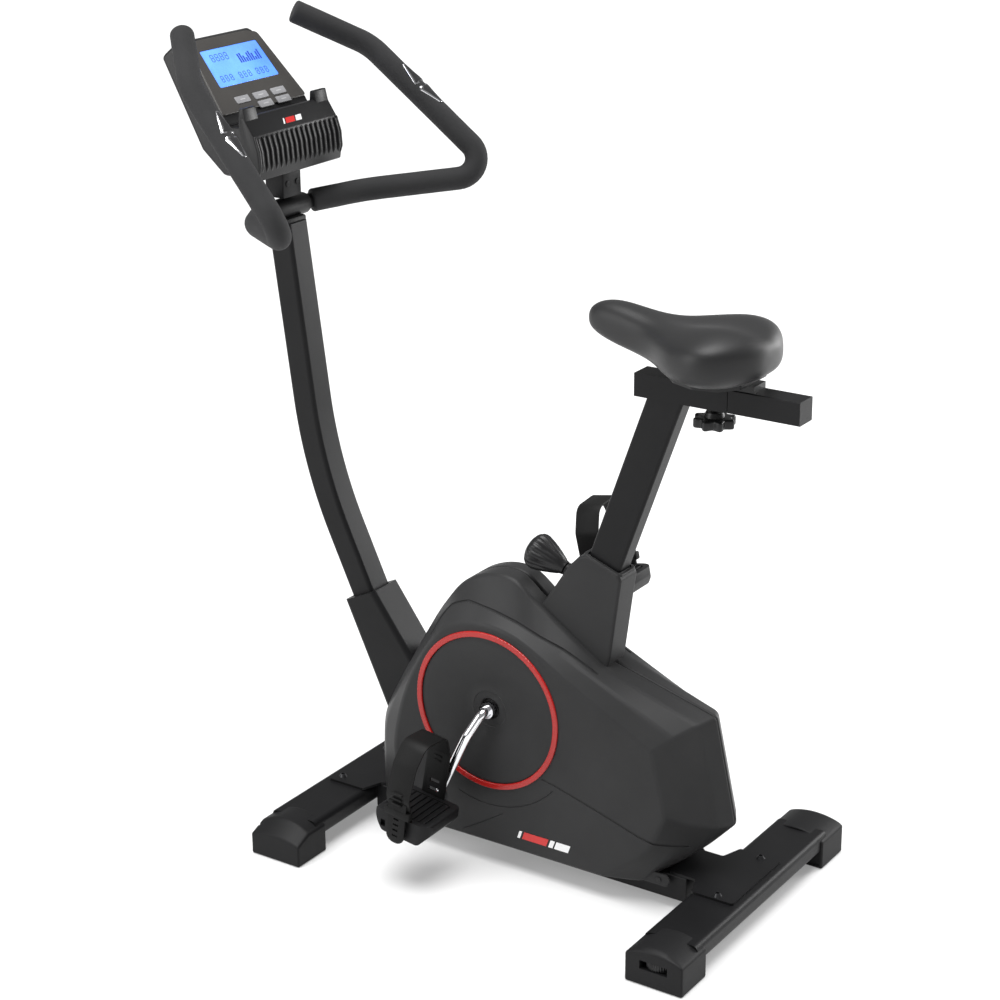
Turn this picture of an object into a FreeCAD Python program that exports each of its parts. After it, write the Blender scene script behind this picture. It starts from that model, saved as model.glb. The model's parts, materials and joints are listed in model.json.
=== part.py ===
import FreeCAD, Part
import math
import os
from FreeCAD import Placement, Rotation, Vector

# Upright exercise bike. +X points to the handlebar, +Y to the rider's left, +Z up.
# The origin is on the floor, under the middle of the bike's outer box.

SIZES = [
    # from the drawing's datum, 27 mm behind the middle of the outer box, to the origin
    ("datum_shift", -27.5),
    # base: rail, stabilisers, end caps and feet
    ("rail_width", 90), ("rail_depth", 44), ("rail_bottom", 15), ("rail_wall", 3),
    ("rail_rear", -361), ("rail_front", 236.5), ("plate_thickness", 4),
    ("stabilizer_width", 90), ("stabilizer_depth", 32), ("stabilizer_bottom", 27),
    ("stabilizer_half", 212), ("stabilizer_wall", 2.5), ("front_axis_x", 281.5), ("rear_axis_x", -431),
    ("cap_width", 98), ("cap_side", 48), ("cap_crown", 63), ("cap_inner_y", 191), ("cap_outer_y", 265),
    ("foot_bolt_radius", 4), ("foot_bolt_head", 7), ("foot_bolt_rise", 5),
    ("wheel_radius", 20), ("wheel_width", 18), ("wheel_pin", 4), ("leveller_radius", 23),
    ("leveller_thickness", 12), ("leveller_rod", 5), ("foot_radius", 17), ("leveller_y", 241),
    # mast and its socket
    ("mast_lean", 24.7), ("mast_top_lean", 7.4), ("mast_bend", 740), ("mast_width", 50), ("mast_depth", 45),
    ("mast_wall", 2), ("mast_knee_x", 365), ("mast_knee_z", 594), ("mast_foot_z", 200), ("mast_top_z", 994),
    ("socket_width", 70), ("socket_depth", 66), ("socket_top_z", 389), ("corner_round", 9),
    ("flare_lean", 36), ("flare_low_z", 296), ("flare_foot_z", 220),
    # seat tube, its cover and the seat post
    ("seat_lean", 19.9), ("seat_line_x", -196), ("seat_line_z", 554), ("post_depth", 58), ("post_width", 34),
    ("post_wall", 2), ("post_foot_z", 400), ("tube_top_z", 528), ("tube_wall", 3.5), ("fit_gap", 0.3),
    ("collar_foot_z", 529), ("collar_top_z", 541), ("cover_width", 52), ("cover_wall", 2.4),
    ("sleeve_width", 39), ("sleeve_depth", 36), ("sleeve_bottom", 819.7), ("sleeve_front", -242),
    ("sleeve_rear", -397.5), ("sleeve_wall", 2.5), ("slider_rear", -514.5), ("slider_front", -262),
    ("saddle_cut_z", 874), ("pan_bottom", 866), ("pin_reach", 109.6), ("pin_line_z", 488),
    ("neck_radius", 11),
    # crank, pedals and drive
    ("crank_x", -15), ("crank_z", 273), ("crank_length", 170), ("crank_angle", -65.4), ("axle_radius", 10),
    ("axle_half", 74), ("arm_radius", 8), ("housing_radius", 25), ("housing_half", 36), ("bearing_width", 12),
    ("bearing_radius", 19), ("running_gap", 0.05), ("spindle_radius", 6), ("pedal_middle_y", 180),
    ("pedal_width", 94), ("left_pedal_tilt", 8), ("right_pedal_tilt", -11), ("strap_width", 44), ("strap_thickness", 3), ("pulley_radius", 100),
    ("belt_middle_y", 51), ("belt_width", 10), ("belt_thickness", 3), ("flywheel_x", -235),
    ("flywheel_z", 210), ("flywheel_radius", 106), ("flywheel_width", 24), ("small_pulley_radius", 16),
    ("flywheel_axle", 6), ("idler_radius", 15), ("idler_pin", 4), ("magnet_gap", 3), ("magnet_depth", 8),
    # casing
    ("casing_wall", 3), ("panel_y", 82), ("disc_radius", 124.7), ("ring_radius", 134.5), ("ring_rise", 3),
    ("hub_hole", 17), ("dish_depth", 10), ("screw_radius", 3),
    # handlebar and console
    ("bar_radius", 12.5), ("bar_wall", 1.8), ("foam_radius", 19), ("sensor_radius", 20.2), ("bar_x", 422), ("bar_z", 1016),
    ("clamp_width", 62), ("clamp_depth", 44), ("bracket_width", 46), ("bracket_depth", 38),
    ("face_slope", 50), ("face_x", 480.6), ("face_z", 1214.5), ("face_thickness", 3), ("housing_width", 216),
    ("ledge_width", 210), ("screen_width", 146), ("screen_depth", 68), ("button_width", 34),
    ("button_depth", 14), ("button_rise", 1.2), ("button_pitch", 44.5),
]

doc = FreeCAD.newDocument("exercise_bike")
sheet = doc.addObject("Spreadsheet::Sheet", "Sizes")
for row, (alias, value) in enumerate(SIZES, start=1):
    sheet.set(f"A{row}", alias)
    sheet.set(f"B{row}", str(value))
    sheet.setAlias(f"B{row}", alias)
doc.recompute()

dim = {alias: float(sheet.get(alias)) for alias, _ in SIZES}
nodes = {}

ALONG_Y = Rotation(Vector(0, 0, 1), Vector(0, 1, 0))
CUT_PAST = 20
EPS = 1e-6


# ---------------------------------------------------------------- outlines
def flat(points):
    """Two-number points as vectors in a sketch's plane."""
    return [Vector(a, b, 0) for a, b in points]


def rounded_edges(points, radii, closed):
    """Line and arc geometry through the points, with each corner rounded to its radius."""
    count = len(points)
    edges, entries, leaves = [], [], []
    for index, corner in enumerate(points):
        at_end = not closed and index in (0, count - 1)
        if at_end or radii[index] == 0:
            entries.append(corner)
            leaves.append(corner)
            continue
        back = (points[index - 1] - corner).normalize()
        ahead = (points[(index + 1) % count] - corner).normalize()
        half = back.getAngle(ahead) / 2
        reach = radii[index] / math.tan(half)
        entry = corner + back * reach
        leave = corner + ahead * reach
        middle = corner + (back + ahead).normalize() * (radii[index] / math.sin(half) - radii[index])
        turns_left = back.cross(ahead).z < 0
        ends = (entry, leave) if turns_left else (leave, entry)
        edges.append((index, Part.Arc(ends[0], middle, ends[1])))
        entries.append(entry)
        leaves.append(leave)
    for index in range(count if closed else count - 1):
        start, end = leaves[index], entries[(index + 1) % count]
        if (end - start).Length > EPS:
            edges.append((index + 0.5, Part.LineSegment(start, end)))
    return [geometry for _, geometry in sorted(edges, key=lambda pair: pair[0])]


def closed_edges(points, radius=0):
    radii = radius if isinstance(radius, list) else [radius] * len(points)
    return rounded_edges(flat(points), radii, True)


def path_wire(points, radii):
    """Open 3-D wire of straight runs joined by tangent arcs."""
    return Part.Wire([g.toShape() for g in rounded_edges(points, radii, False)])


def rectangle(width, height, middle=(0, 0)):
    a, b = middle
    return [(a - width / 2, b - height / 2), (a + width / 2, b - height / 2),
            (a + width / 2, b + height / 2), (a - width / 2, b + height / 2)]


def inset(points, distance):
    """The closed outline moved inwards by the distance."""
    vectors = flat(points)
    area = sum(a.cross(b).z for a, b in zip(vectors, vectors[1:] + vectors[:1]))
    distance = -math.copysign(distance, area)
    moved = []
    for index, corner in enumerate(vectors):
        before = (corner - vectors[index - 1]).normalize()
        after = (vectors[(index + 1) % len(vectors)] - corner).normalize()
        normals = Vector(before.y, -before.x, 0) + Vector(after.y, -after.x, 0)
        move = normals * (2 * distance / (normals.Length ** 2))
        moved.append((corner.x + move.x, corner.y + move.y))
    return moved


def band(points, thickness):
    """Closed outline of a band of even thickness on the left of an open route."""
    vectors = flat(points)
    sides = [(b - a).normalize() for a, b in zip(vectors, vectors[1:])]
    sides = [sides[0]] + sides + [sides[-1]]
    outer = []
    for corner, before, after in zip(vectors, sides, sides[1:]):
        normals = Vector(-before.y, before.x, 0) + Vector(-after.y, after.x, 0)
        outer.append(corner + normals * (2 * thickness / (normals.Length ** 2)))
    return points + [(v.x, v.y) for v in reversed(outer)]


# ---------------------------------------------------------------- solids
def keep(part, label):
    part.Label = label
    nodes[label] = part
    return part


def add_sketch(body, role, name, outlines):
    """Sketch on the body's own origin plane, holding lists of edges."""
    sketch = body.newObject("Sketcher::SketchObject", name)
    plane = next(f for f in body.Origin.OriginFeatures if f.Role == role)
    sketch.AttachmentSupport = [(plane, "")]
    sketch.MapMode = "FlatFace"
    for outline in outlines:
        sketch.addGeometry(outline, False)
    return sketch


def prism(label, role, outlines, width, place=None):
    """Body padded evenly to both sides of its sketch plane. width is a sheet expression."""
    body = doc.addObject("PartDesign::Body", label)
    sketch = add_sketch(body, role, label + "_outline", outlines)
    pad = body.newObject("PartDesign::Pad", label + "_pad")
    pad.Profile = sketch
    pad.Midplane = True
    pad.setExpression("Length", width)
    body.Tip = pad
    body.Placement = place or Placement()
    return keep(body, label)


def pocket(body, role, outlines, width):
    """Even pocket to both sides of the sketch plane, checked to have taken material away."""
    doc.recompute()
    before = body.Shape.Volume
    sketch = add_sketch(body, role, f"{body.Name}_cut{len(body.Group)}", outlines)
    cut = body.newObject("PartDesign::Pocket", f"{body.Name}_pocket{len(body.Group)}")
    cut.Profile = sketch
    cut.Midplane = True
    cut.setExpression("Length", width)
    body.Tip = cut
    doc.recompute()
    if body.Shape.Volume >= before:
        raise ValueError(f"pocket in {body.Label} cuts nothing")
    return body


def revolved(label, outline, place, radius=0):
    """Body turned about the Y axis. The outline's points are (radius, y)."""
    body = doc.addObject("PartDesign::Body", label)
    sketch = add_sketch(body, "XY_Plane", label + "_outline", [closed_edges(outline, radius)])
    turn = body.newObject("PartDesign::Revolution", label + "_turn")
    turn.Profile = sketch
    turn.ReferenceAxis = (sketch, ["V_Axis"])
    turn.Angle = 360
    body.Tip = turn
    body.Placement = place
    return keep(body, label)


def shape_part(label, shape, place=None):
    """Sub-part whose form is made with Part's own functions."""
    part = doc.addObject("Part::Feature", label)
    part.Shape = shape
    part.Placement = (place or Placement()).multiply(shape.Placement)
    return keep(part, label)


def shape_prism(points, radius, y_low, y_high):
    """Solid over an XZ outline, between two Y values."""
    edges = [g.toShape() for g in closed_edges(points, radius)]
    face = Part.Face(Part.Wire(Part.__sortEdges__(edges)))
    solid = face.extrude(Vector(0, 0, y_high - y_low))
    solid.Placement = Placement(Vector(0, y_high, 0), Rotation(Vector(1, 0, 0), 90))
    return solid


def rod(radius, x, z, y_low, y_high):
    return Part.makeCylinder(radius, y_high - y_low, Vector(x, y_low, z), Vector(0, 1, 0))


def block(x_low, x_high, y_low, y_high, z_low, z_high):
    return Part.makeBox(x_high - x_low, y_high - y_low, z_high - z_low, Vector(x_low, y_low, z_low))


def tube_along(wire, radius):
    """Round solid swept along a wire."""
    first = wire.OrderedEdges[0]
    start = first.valueAt(first.FirstParameter)
    tangent = first.tangentAt(first.FirstParameter)
    ring = Part.Wire(Part.makeCircle(radius, start, tangent))
    return wire.makePipeShell([ring], True, False)


def mirrored_y(shape):
    return shape.mirror(Vector(0, 0, 0), Vector(0, 1, 0))


def sheet_size(name):
    return "Sizes." + name


def at(x=0, y=0, z=0):
    return Placement(Vector(x, y, z), Rotation())


# ---------------------------------------------------------------- base frame
rail_top = dim["rail_bottom"] + dim["rail_depth"]
rail_middle_z = dim["rail_bottom"] + dim["rail_depth"] / 2
plate_top = rail_top + dim["plate_thickness"]


def make_base():
    """Rail, foot plates and the two stabiliser tubes."""
    outer = closed_edges(rectangle(dim["rail_width"], dim["rail_depth"], (0, rail_middle_z)), 4)
    wall = 2 * dim["rail_wall"]
    hollow = rectangle(dim["rail_width"] - wall, dim["rail_depth"] - wall, (0, rail_middle_z))
    middle = (dim["rail_front"] + dim["rail_rear"]) / 2
    prism("base_rail", "YZ_Plane", [outer, closed_edges(hollow)],
          "Sizes.rail_front - Sizes.rail_rear", at(x=middle))

    rear_plate = [(-462, -80), (-390, -80), (-378, -44), (-330, -44), (-330, 44), (-378, 44), (-390, 80), (-462, 80)]
    front_plate = [(168, -44), (226, -44), (240, -80), (311, -80), (311, 80), (240, 80), (226, 44), (168, 44)]
    outlines = [closed_edges(rear_plate, 5), closed_edges(front_plate, 5)]
    prism("foot_plates", "XY_Plane", outlines, sheet_size("plate_thickness"),
          at(z=rail_top + dim["plate_thickness"] / 2))

    middle_z = dim["stabilizer_bottom"] + dim["stabilizer_depth"] / 2
    for label, x in (("front_stabilizer", dim["front_axis_x"]), ("rear_stabilizer", dim["rear_axis_x"])):
        wall = 2 * dim["stabilizer_wall"]
        outer = rectangle(dim["stabilizer_width"], dim["stabilizer_depth"], (0, middle_z))
        inner = rectangle(dim["stabilizer_width"] - wall, dim["stabilizer_depth"] - wall, (0, middle_z))
        prism(label, "XZ_Plane", [closed_edges(outer, 9), closed_edges(inner, 7)],
              "2 * Sizes.stabilizer_half", at(x=x))


def cap_shape(drop_outside):
    """End cap on the left side of the X = 0 plane, with a crowned top and a socket for the tube."""
    half = dim["cap_width"] / 2
    inner, outer = dim["cap_inner_y"], dim["cap_outer_y"]
    crown = Part.Arc(Vector(half, inner, dim["cap_side"]), Vector(0, inner, dim["cap_crown"]),
                     Vector(-half, inner, dim["cap_side"])).toShape()
    corners = [Vector(-half, inner, dim["cap_side"]), Vector(-half, inner, 0),
               Vector(half, inner, 0), Vector(half, inner, dim["cap_side"])]
    wire = Part.Wire([crown] + [Part.LineSegment(a, b).toShape() for a, b in zip(corners, corners[1:])])
    solid = Part.Face(wire).extrude(Vector(0, outer - inner, 0))
    slope = [Vector(-CUT_PAST - half, outer - drop_outside[0], dim["cap_crown"] + 1),
             Vector(-CUT_PAST - half, outer + 1, dim["cap_crown"] + 1),
             Vector(-CUT_PAST - half, outer + 1, drop_outside[1])]
    wedge = Part.Face(Part.makePolygon(slope + slope[:1])).extrude(Vector(2 * (half + CUT_PAST), 0, 0))
    width, low = dim["stabilizer_width"], dim["stabilizer_bottom"]
    socket = block(-width / 2, width / 2, inner - 1, dim["stabilizer_half"], low, low + dim["stabilizer_depth"])
    vertical = [e for e in socket.Edges if abs(e.tangentAt(e.FirstParameter).y) > 1 - EPS]
    return solid.cut(wedge).cut(socket.makeFillet(9, vertical))


def make_caps():
    """Front caps with their transport wheels, and rear caps with their levellers."""
    wheel_x, wheel_z = dim["front_axis_x"] + 29, dim["wheel_radius"] + 2.5
    wheel_y = (dim["stabilizer_half"] + dim["cap_outer_y"]) / 2
    half = dim["wheel_width"] / 2
    pocket_box = block(wheel_x - 24, wheel_x + 40, wheel_y - half - 1, wheel_y + half + 1, -1, wheel_z + 23)
    pin = rod(dim["wheel_pin"], wheel_x, wheel_z, wheel_y - half - 1, wheel_y + half + 1)
    front = cap_shape((30, 36))
    front.Placement = at(x=dim["front_axis_x"])
    front = front.cut(pocket_box).fuse(pin).removeSplitter()
    shape_part("front_caps", Part.makeCompound([front, mirrored_y(front)]))
    bore = dim["wheel_pin"] + dim["running_gap"]
    tread = dim["wheel_radius"]
    outline = [(bore, -half), (tread - 3, -half), (tread, 3 - half), (tread, half - 3), (tread - 3, half), (bore, half)]
    for side, label in ((1, "transport_wheel_left"), (-1, "transport_wheel_right")):
        revolved(label, outline, at(wheel_x, side * wheel_y, wheel_z))

    wheel_low = 29
    wheel_high = wheel_low + dim["leveller_thickness"]
    gap = dim["fit_gap"] + 0.7
    middle_y = dim["leveller_y"]
    rear = cap_shape((9, 52))
    room_radius = dim["leveller_radius"] + gap
    wheel_room = Part.makeCylinder(room_radius, wheel_high - wheel_low + 2 * gap,
                                   Vector(0, middle_y, wheel_low - gap))
    wheel_room = wheel_room.fuse(block(-room_radius, room_radius, middle_y, dim["cap_outer_y"] + 1,
                                       wheel_low - gap, wheel_high + gap))
    rod_room = Part.makeCylinder(dim["leveller_rod"] + dim["fit_gap"], wheel_high + 9, Vector(0, middle_y, -1))
    foot_room = Part.makeCylinder(dim["foot_radius"] + gap, 10, Vector(0, middle_y, -1))
    rear = rear.cut(wheel_room).cut(rod_room).cut(foot_room)
    rear.Placement = at(x=dim["rear_axis_x"])
    shape_part("rear_caps", Part.makeCompound([rear, mirrored_y(rear)]))
    foot = [(0, 0), (dim["foot_radius"], 0), (dim["foot_radius"], 6), (dim["leveller_rod"], 8),
            (dim["leveller_rod"], wheel_low), (dim["leveller_radius"], wheel_low),
            (dim["leveller_radius"], wheel_high), (dim["leveller_rod"], wheel_high),
            (dim["leveller_rod"], wheel_high + 6), (0, wheel_high + 6)]
    for side, label in ((1, "leveller_left"), (-1, "leveller_right")):
        place = Placement(Vector(dim["rear_axis_x"], side * middle_y, 0), Rotation(Vector(1, 0, 0), 90))
        revolved(label, foot, place)


# ---------------------------------------------------------------- mast
lean = math.radians(dim["mast_lean"])
top_lean = math.radians(dim["mast_top_lean"])


def mast_line(z):
    """X of the mast's straight lower centre line."""
    return dim["mast_knee_x"] + (z - dim["mast_knee_z"]) * math.tan(lean)


def mast_top_line(z):
    return dim["mast_knee_x"] + (z - dim["mast_knee_z"]) * math.tan(top_lean)


def mast_outline(half_depth, foot_z, top_z, radius):
    """Side outline of the mast, offset evenly from its bent centre line."""
    lower = Vector(math.sin(lean), math.cos(lean), 0)
    upper = Vector(math.sin(top_lean), math.cos(top_lean), 0)
    knee = Vector(dim["mast_knee_x"], dim["mast_knee_z"], 0)
    foot = Vector(mast_line(foot_z), foot_z, 0)
    top = Vector(mast_top_line(top_z), top_z, 0)
    spread = math.cos((lean - top_lean) / 2)
    points, radii = [], []
    for side in (1, -1):
        across_low = Vector(lower.y, -lower.x, 0) * (side * half_depth)
        across_top = Vector(upper.y, -upper.x, 0) * (side * half_depth)
        bend = (across_low + across_top).normalize() * (half_depth / spread)
        run = [foot + across_low, knee + bend, top + across_top]
        points += run if side == 1 else run[::-1]
        radii += [0, radius + side * half_depth, 0]
    return rounded_edges(points, radii, True)


def lower_mast_prism(depth, width, foot_z, top_z):
    """Solid block along the mast's lower line, cut square at the top and level at the foot."""
    length = (top_z - foot_z) / math.cos(lean)
    extra = depth
    solid = Part.makeBox(depth, width, length + extra, Vector(-depth / 2, -width / 2, -length - extra))
    solid.Placement = Placement(Vector(mast_line(top_z), 0, top_z), Rotation(Vector(0, 1, 0), dim["mast_lean"]))
    floor = block(-1000, 1000, -200, 200, -500, foot_z)
    return solid.cut(floor)


def socket_flare(grow):
    """Wedge behind the socket, which widens towards the casing."""
    half = dim["socket_depth"] / 2 + grow
    corner = (mast_line(dim["socket_top_z"]) - half * math.cos(lean), dim["socket_top_z"] + half * math.sin(lean))
    reach = math.tan(math.radians(dim["flare_lean"]))
    outline = [corner, (corner[0] - (corner[1] - dim["flare_low_z"]) * reach, dim["flare_low_z"])]
    outline += [(mast_line(z), z) for z in (dim["flare_foot_z"], dim["socket_top_z"])]
    across = dim["socket_width"] / 2 + grow
    wedge = shape_prism(outline, 0, -across, across)
    sides = [e for e in wedge.Edges if e.BoundBox.XMax < corner[0] + 1 and e.BoundBox.YLength < 1
             and e.BoundBox.ZMax > corner[1] - 1]
    return wedge.makeFillet(dim["corner_round"], sides)


def make_mast():
    half = dim["mast_depth"] / 2
    mast = prism("mast", "XZ_Plane", [mast_outline(half, dim["mast_foot_z"], dim["mast_top_z"], dim["mast_bend"])],
                 sheet_size("mast_width"))
    inner = mast_outline(half - dim["mast_wall"], dim["mast_foot_z"] - CUT_PAST, dim["mast_top_z"] + CUT_PAST,
                         dim["mast_bend"])
    pocket(mast, "XZ_Plane", [inner], "Sizes.mast_width - 2 * Sizes.mast_wall")
    outer = lower_mast_prism(dim["socket_depth"], dim["socket_width"], plate_top, dim["socket_top_z"])
    long_edges = [e for e in outer.Edges if e.Length > dim["socket_top_z"] - plate_top]
    sleeve = outer.makeFillet(dim["corner_round"], long_edges).fuse(socket_flare(0))
    hollow = lower_mast_prism(dim["mast_depth"], dim["mast_width"], plate_top - 1, dim["socket_top_z"] + CUT_PAST)
    shape_part("mast_socket", sleeve.cut(hollow))


# ---------------------------------------------------------------- seat tube
seat_lean = math.radians(dim["seat_lean"])
SEAT_UP = Vector(-math.sin(seat_lean), 0, math.cos(seat_lean))
SEAT_FORWARD = Vector(math.cos(seat_lean), 0, math.sin(seat_lean))


def seat_line(z):
    return dim["seat_line_x"] - (z - dim["seat_line_z"]) * math.tan(seat_lean)


def seat_prism(depth, width, foot_z, top_z, radius=0):
    """Block along the leaning seat line, cut square at both ends."""
    length = (top_z - foot_z) / math.cos(seat_lean)
    solid = Part.makeBox(depth, width, length, Vector(-depth / 2, -width / 2, 0))
    if radius:
        solid = solid.makeFillet(radius, [e for e in solid.Edges if e.Length > length - EPS])
    solid.Placement = Placement(Vector(seat_line(foot_z), 0, foot_z), Rotation(Vector(0, 1, 0), -dim["seat_lean"]))
    return solid


post_room = (dim["post_depth"] + 2 * dim["fit_gap"], dim["post_width"] + 2 * dim["fit_gap"])
tube_outer = (post_room[0] + 2 * dim["tube_wall"], post_room[1] + 2 * dim["tube_wall"])
COVER = [(-226, 521), (-159, 553), (-131, 529), (-108, 490), (-78, 446), (-120, 400), (-170, 372), (-201, 372),
         (-208, 392)]


def make_seat_tube():
    outer = seat_prism(tube_outer[0], tube_outer[1], rail_top - 80, dim["tube_top_z"], 8)
    inner = seat_prism(post_room[0], post_room[1], rail_top - 100, dim["tube_top_z"] + CUT_PAST, 5)
    below = block(-500, 500, -100, 100, -300, rail_top)
    pin_foot = Vector(seat_line(dim["pin_line_z"]), 0, dim["pin_line_z"])
    pin_hole = Part.makeCylinder(5 + dim["fit_gap"], 80, pin_foot, SEAT_FORWARD)
    neck = Part.makeCylinder(dim["neck_radius"], 62, pin_foot, SEAT_FORWARD)
    tube = outer.fuse(neck).cut(inner).cut(below).cut(pin_hole)
    shape_part("seat_tube", tube)

    collar = seat_prism(tube_outer[0] - 2, tube_outer[1] - 0.4, dim["collar_foot_z"], dim["collar_top_z"], 6)
    shape_part("post_collar", collar.cut(inner))

    half = dim["cover_width"] / 2
    wall = dim["cover_wall"]
    shell = shape_prism(COVER, [3, 3, 12, 18, 0, 0, 0, 0, 0], -half, half)
    hollow = shape_prism(inset(COVER, wall), 0, wall - half, half - wall)
    open_foot = shape_prism([(-78, 440), (-120, 394), (-170, 366), (-205, 366), (-205, 300), (-78, 300)],
                            0, wall - half, half - wall)
    pin_neck = Part.makeCylinder(dim["neck_radius"], 120, pin_foot, SEAT_FORWARD)
    room = seat_prism(tube_outer[0], tube_outer[1], dim["post_foot_z"] - 80, dim["seat_line_z"] + CUT_PAST, 8)
    shape_part("seat_tube_cover", shell.cut(hollow).cut(open_foot).cut(pin_neck).cut(room))


def make_seat():
    """Post with its welded sleeve, slider, saddle base and the soft saddle."""
    post = seat_prism(dim["post_depth"], dim["post_width"], dim["post_foot_z"], dim["sleeve_bottom"] + 40, 5)
    wall = 2 * dim["post_wall"]
    inner = seat_prism(dim["post_depth"] - wall, dim["post_width"] - wall, dim["post_foot_z"] - 10,
                       dim["sleeve_bottom"] + 60, 3)
    low, high = dim["sleeve_bottom"], dim["sleeve_bottom"] + dim["sleeve_depth"]
    half = dim["sleeve_width"] / 2
    wall = dim["sleeve_wall"]
    above = block(-600, 0, -100, 100, low, low + 200)
    post = post.cut(inner).cut(above)
    for step in range(6):
        hole_z = dim["pin_line_z"] + step * 25 * math.cos(seat_lean)
        start = Vector(seat_line(hole_z), 0, hole_z)
        post = post.cut(Part.makeCylinder(5, 60, start, SEAT_FORWARD))
    sleeve = block(dim["sleeve_rear"], dim["sleeve_front"], -half, half, low, high)
    bore = block(dim["sleeve_rear"] - 1, dim["sleeve_front"] - wall, wall - half, half - wall, low + wall, high - wall)
    knob_x = dim["sleeve_rear"] + 30
    screw_hole = Part.makeCylinder(5.05, 10, Vector(knob_x, 0, low - 1))
    shape_part("seat_post", post.fuse(sleeve.cut(bore).cut(screw_hole)).removeSplitter())

    gap = dim["fit_gap"]
    inner_part = block(dim["sleeve_rear"] - 1, dim["slider_front"], wall - half + gap, half - wall - gap,
                       low + wall + gap, high - wall - gap)
    outer_part = block(dim["slider_rear"], dim["sleeve_rear"] - 1, -half, half, low, high)
    lengthwise = [e for e in outer_part.Edges if abs(e.tangentAt(e.FirstParameter).x) > 1 - EPS]
    outer_part = outer_part.makeFillet(2, lengthwise)
    bore = block(dim["slider_rear"] + 6, dim["slider_front"] + 1, 2 * wall - half, half - 2 * wall,
                 low + 2 * wall, high - 2 * wall)
    shape_part("seat_slider", inner_part.fuse(outer_part).cut(bore))

    knob = Part.makeCylinder(27, 15, Vector(knob_x, 0, low - 30))
    for lobe in range(8):
        angle = math.radians(45 * lobe)
        lobe_middle = Vector(knob_x + 27 * math.cos(angle), 27 * math.sin(angle), low - 30)
        knob = knob.fuse(Part.makeCylinder(6, 15, lobe_middle))
    neck = Part.makeCylinder(15, 8, Vector(knob_x, 0, low - 15))
    screw = Part.makeCylinder(5, 15 + wall, Vector(knob_x, 0, low - 15))
    shape_part("slider_knob", knob.fuse(neck).fuse(screw).removeSplitter())

    stations = [(-157, 12, 932, 906), (-170, 25, 946, 897), (-200, 32, 953, 891), (-240, 37, 951, 883),
                (-280, 50, 946, 876), (-315, 76, 943, 871), (-350, 98, 945, 868), (-380, 105, 948, 866),
                (-410, 96, 945, 869), (-436, 70, 937, 878), (-452, 34, 925, 895)]
    rings = []
    for x, half_width, high_z, low_z in stations:
        turns = [math.radians(30 * step) for step in range(12)]
        points = [Vector(x, half_width * math.cos(t), (high_z + low_z) / 2 + (high_z - low_z) / 2 * math.sin(t))
                  for t in turns]
        curve = Part.BSplineCurve()
        curve.interpolate(points, PeriodicFlag=True)
        rings.append(Part.Wire(curve.toShape()))
    cushion = Part.makeLoft(rings, True, False)
    under = block(-600, 0, -200, 200, 700, dim["saddle_cut_z"])
    shape_part("saddle", cushion.cut(under))

    pan = [(-300, -30), (-332, -62), (-370, -76), (-408, -68), (-430, -40), (-430, 40), (-408, 68), (-370, 76),
           (-332, 62), (-300, 30)]
    face = Part.Face(Part.Wire(Part.__sortEdges__([g.toShape() for g in closed_edges(pan, 8)])))
    plate = face.extrude(Vector(0, 0, dim["saddle_cut_z"] - dim["pan_bottom"]))
    plate.Placement = at(z=dim["pan_bottom"])
    foot = block(-440, -400, -half + 2, half - 2, high, dim["pan_bottom"])
    shape_part("saddle_pan", plate.fuse(foot).removeSplitter())

    head_middle = Vector(seat_line(dim["pin_line_z"]), 0, dim["pin_line_z"]) + SEAT_FORWARD * dim["pin_reach"]
    outline = [(0, -dim["pin_reach"] + dim["post_depth"] / 2 + gap), (5, -dim["pin_reach"] + dim["post_depth"] / 2 + gap),
               (5, -46), (10, -46), (10, -40), (14, -36), (16, -26), (26, -24), (30, -8), (28, 6), (20, 18), (9, 23), (0, 23)]
    turn = Rotation(Vector(0, 1, 0), SEAT_FORWARD)
    revolved("pin_knob", outline, Placement(head_middle, turn))


# ---------------------------------------------------------------- crank and pedals
crank = Vector(dim["crank_x"], 0, dim["crank_z"])
ARM_DOWN = Vector(math.cos(math.radians(dim["crank_angle"])), 0, math.sin(math.radians(dim["crank_angle"])))
ARM_FACE = 132
ARM_START = dim["axle_half"]


def ring_at_crank(outer, inner, y_low, y_high):
    solid = rod(outer, crank.x, crank.z, y_low, y_high)
    return solid.cut(rod(inner, crank.x, crank.z, y_low - 1, y_high + 1))


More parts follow.
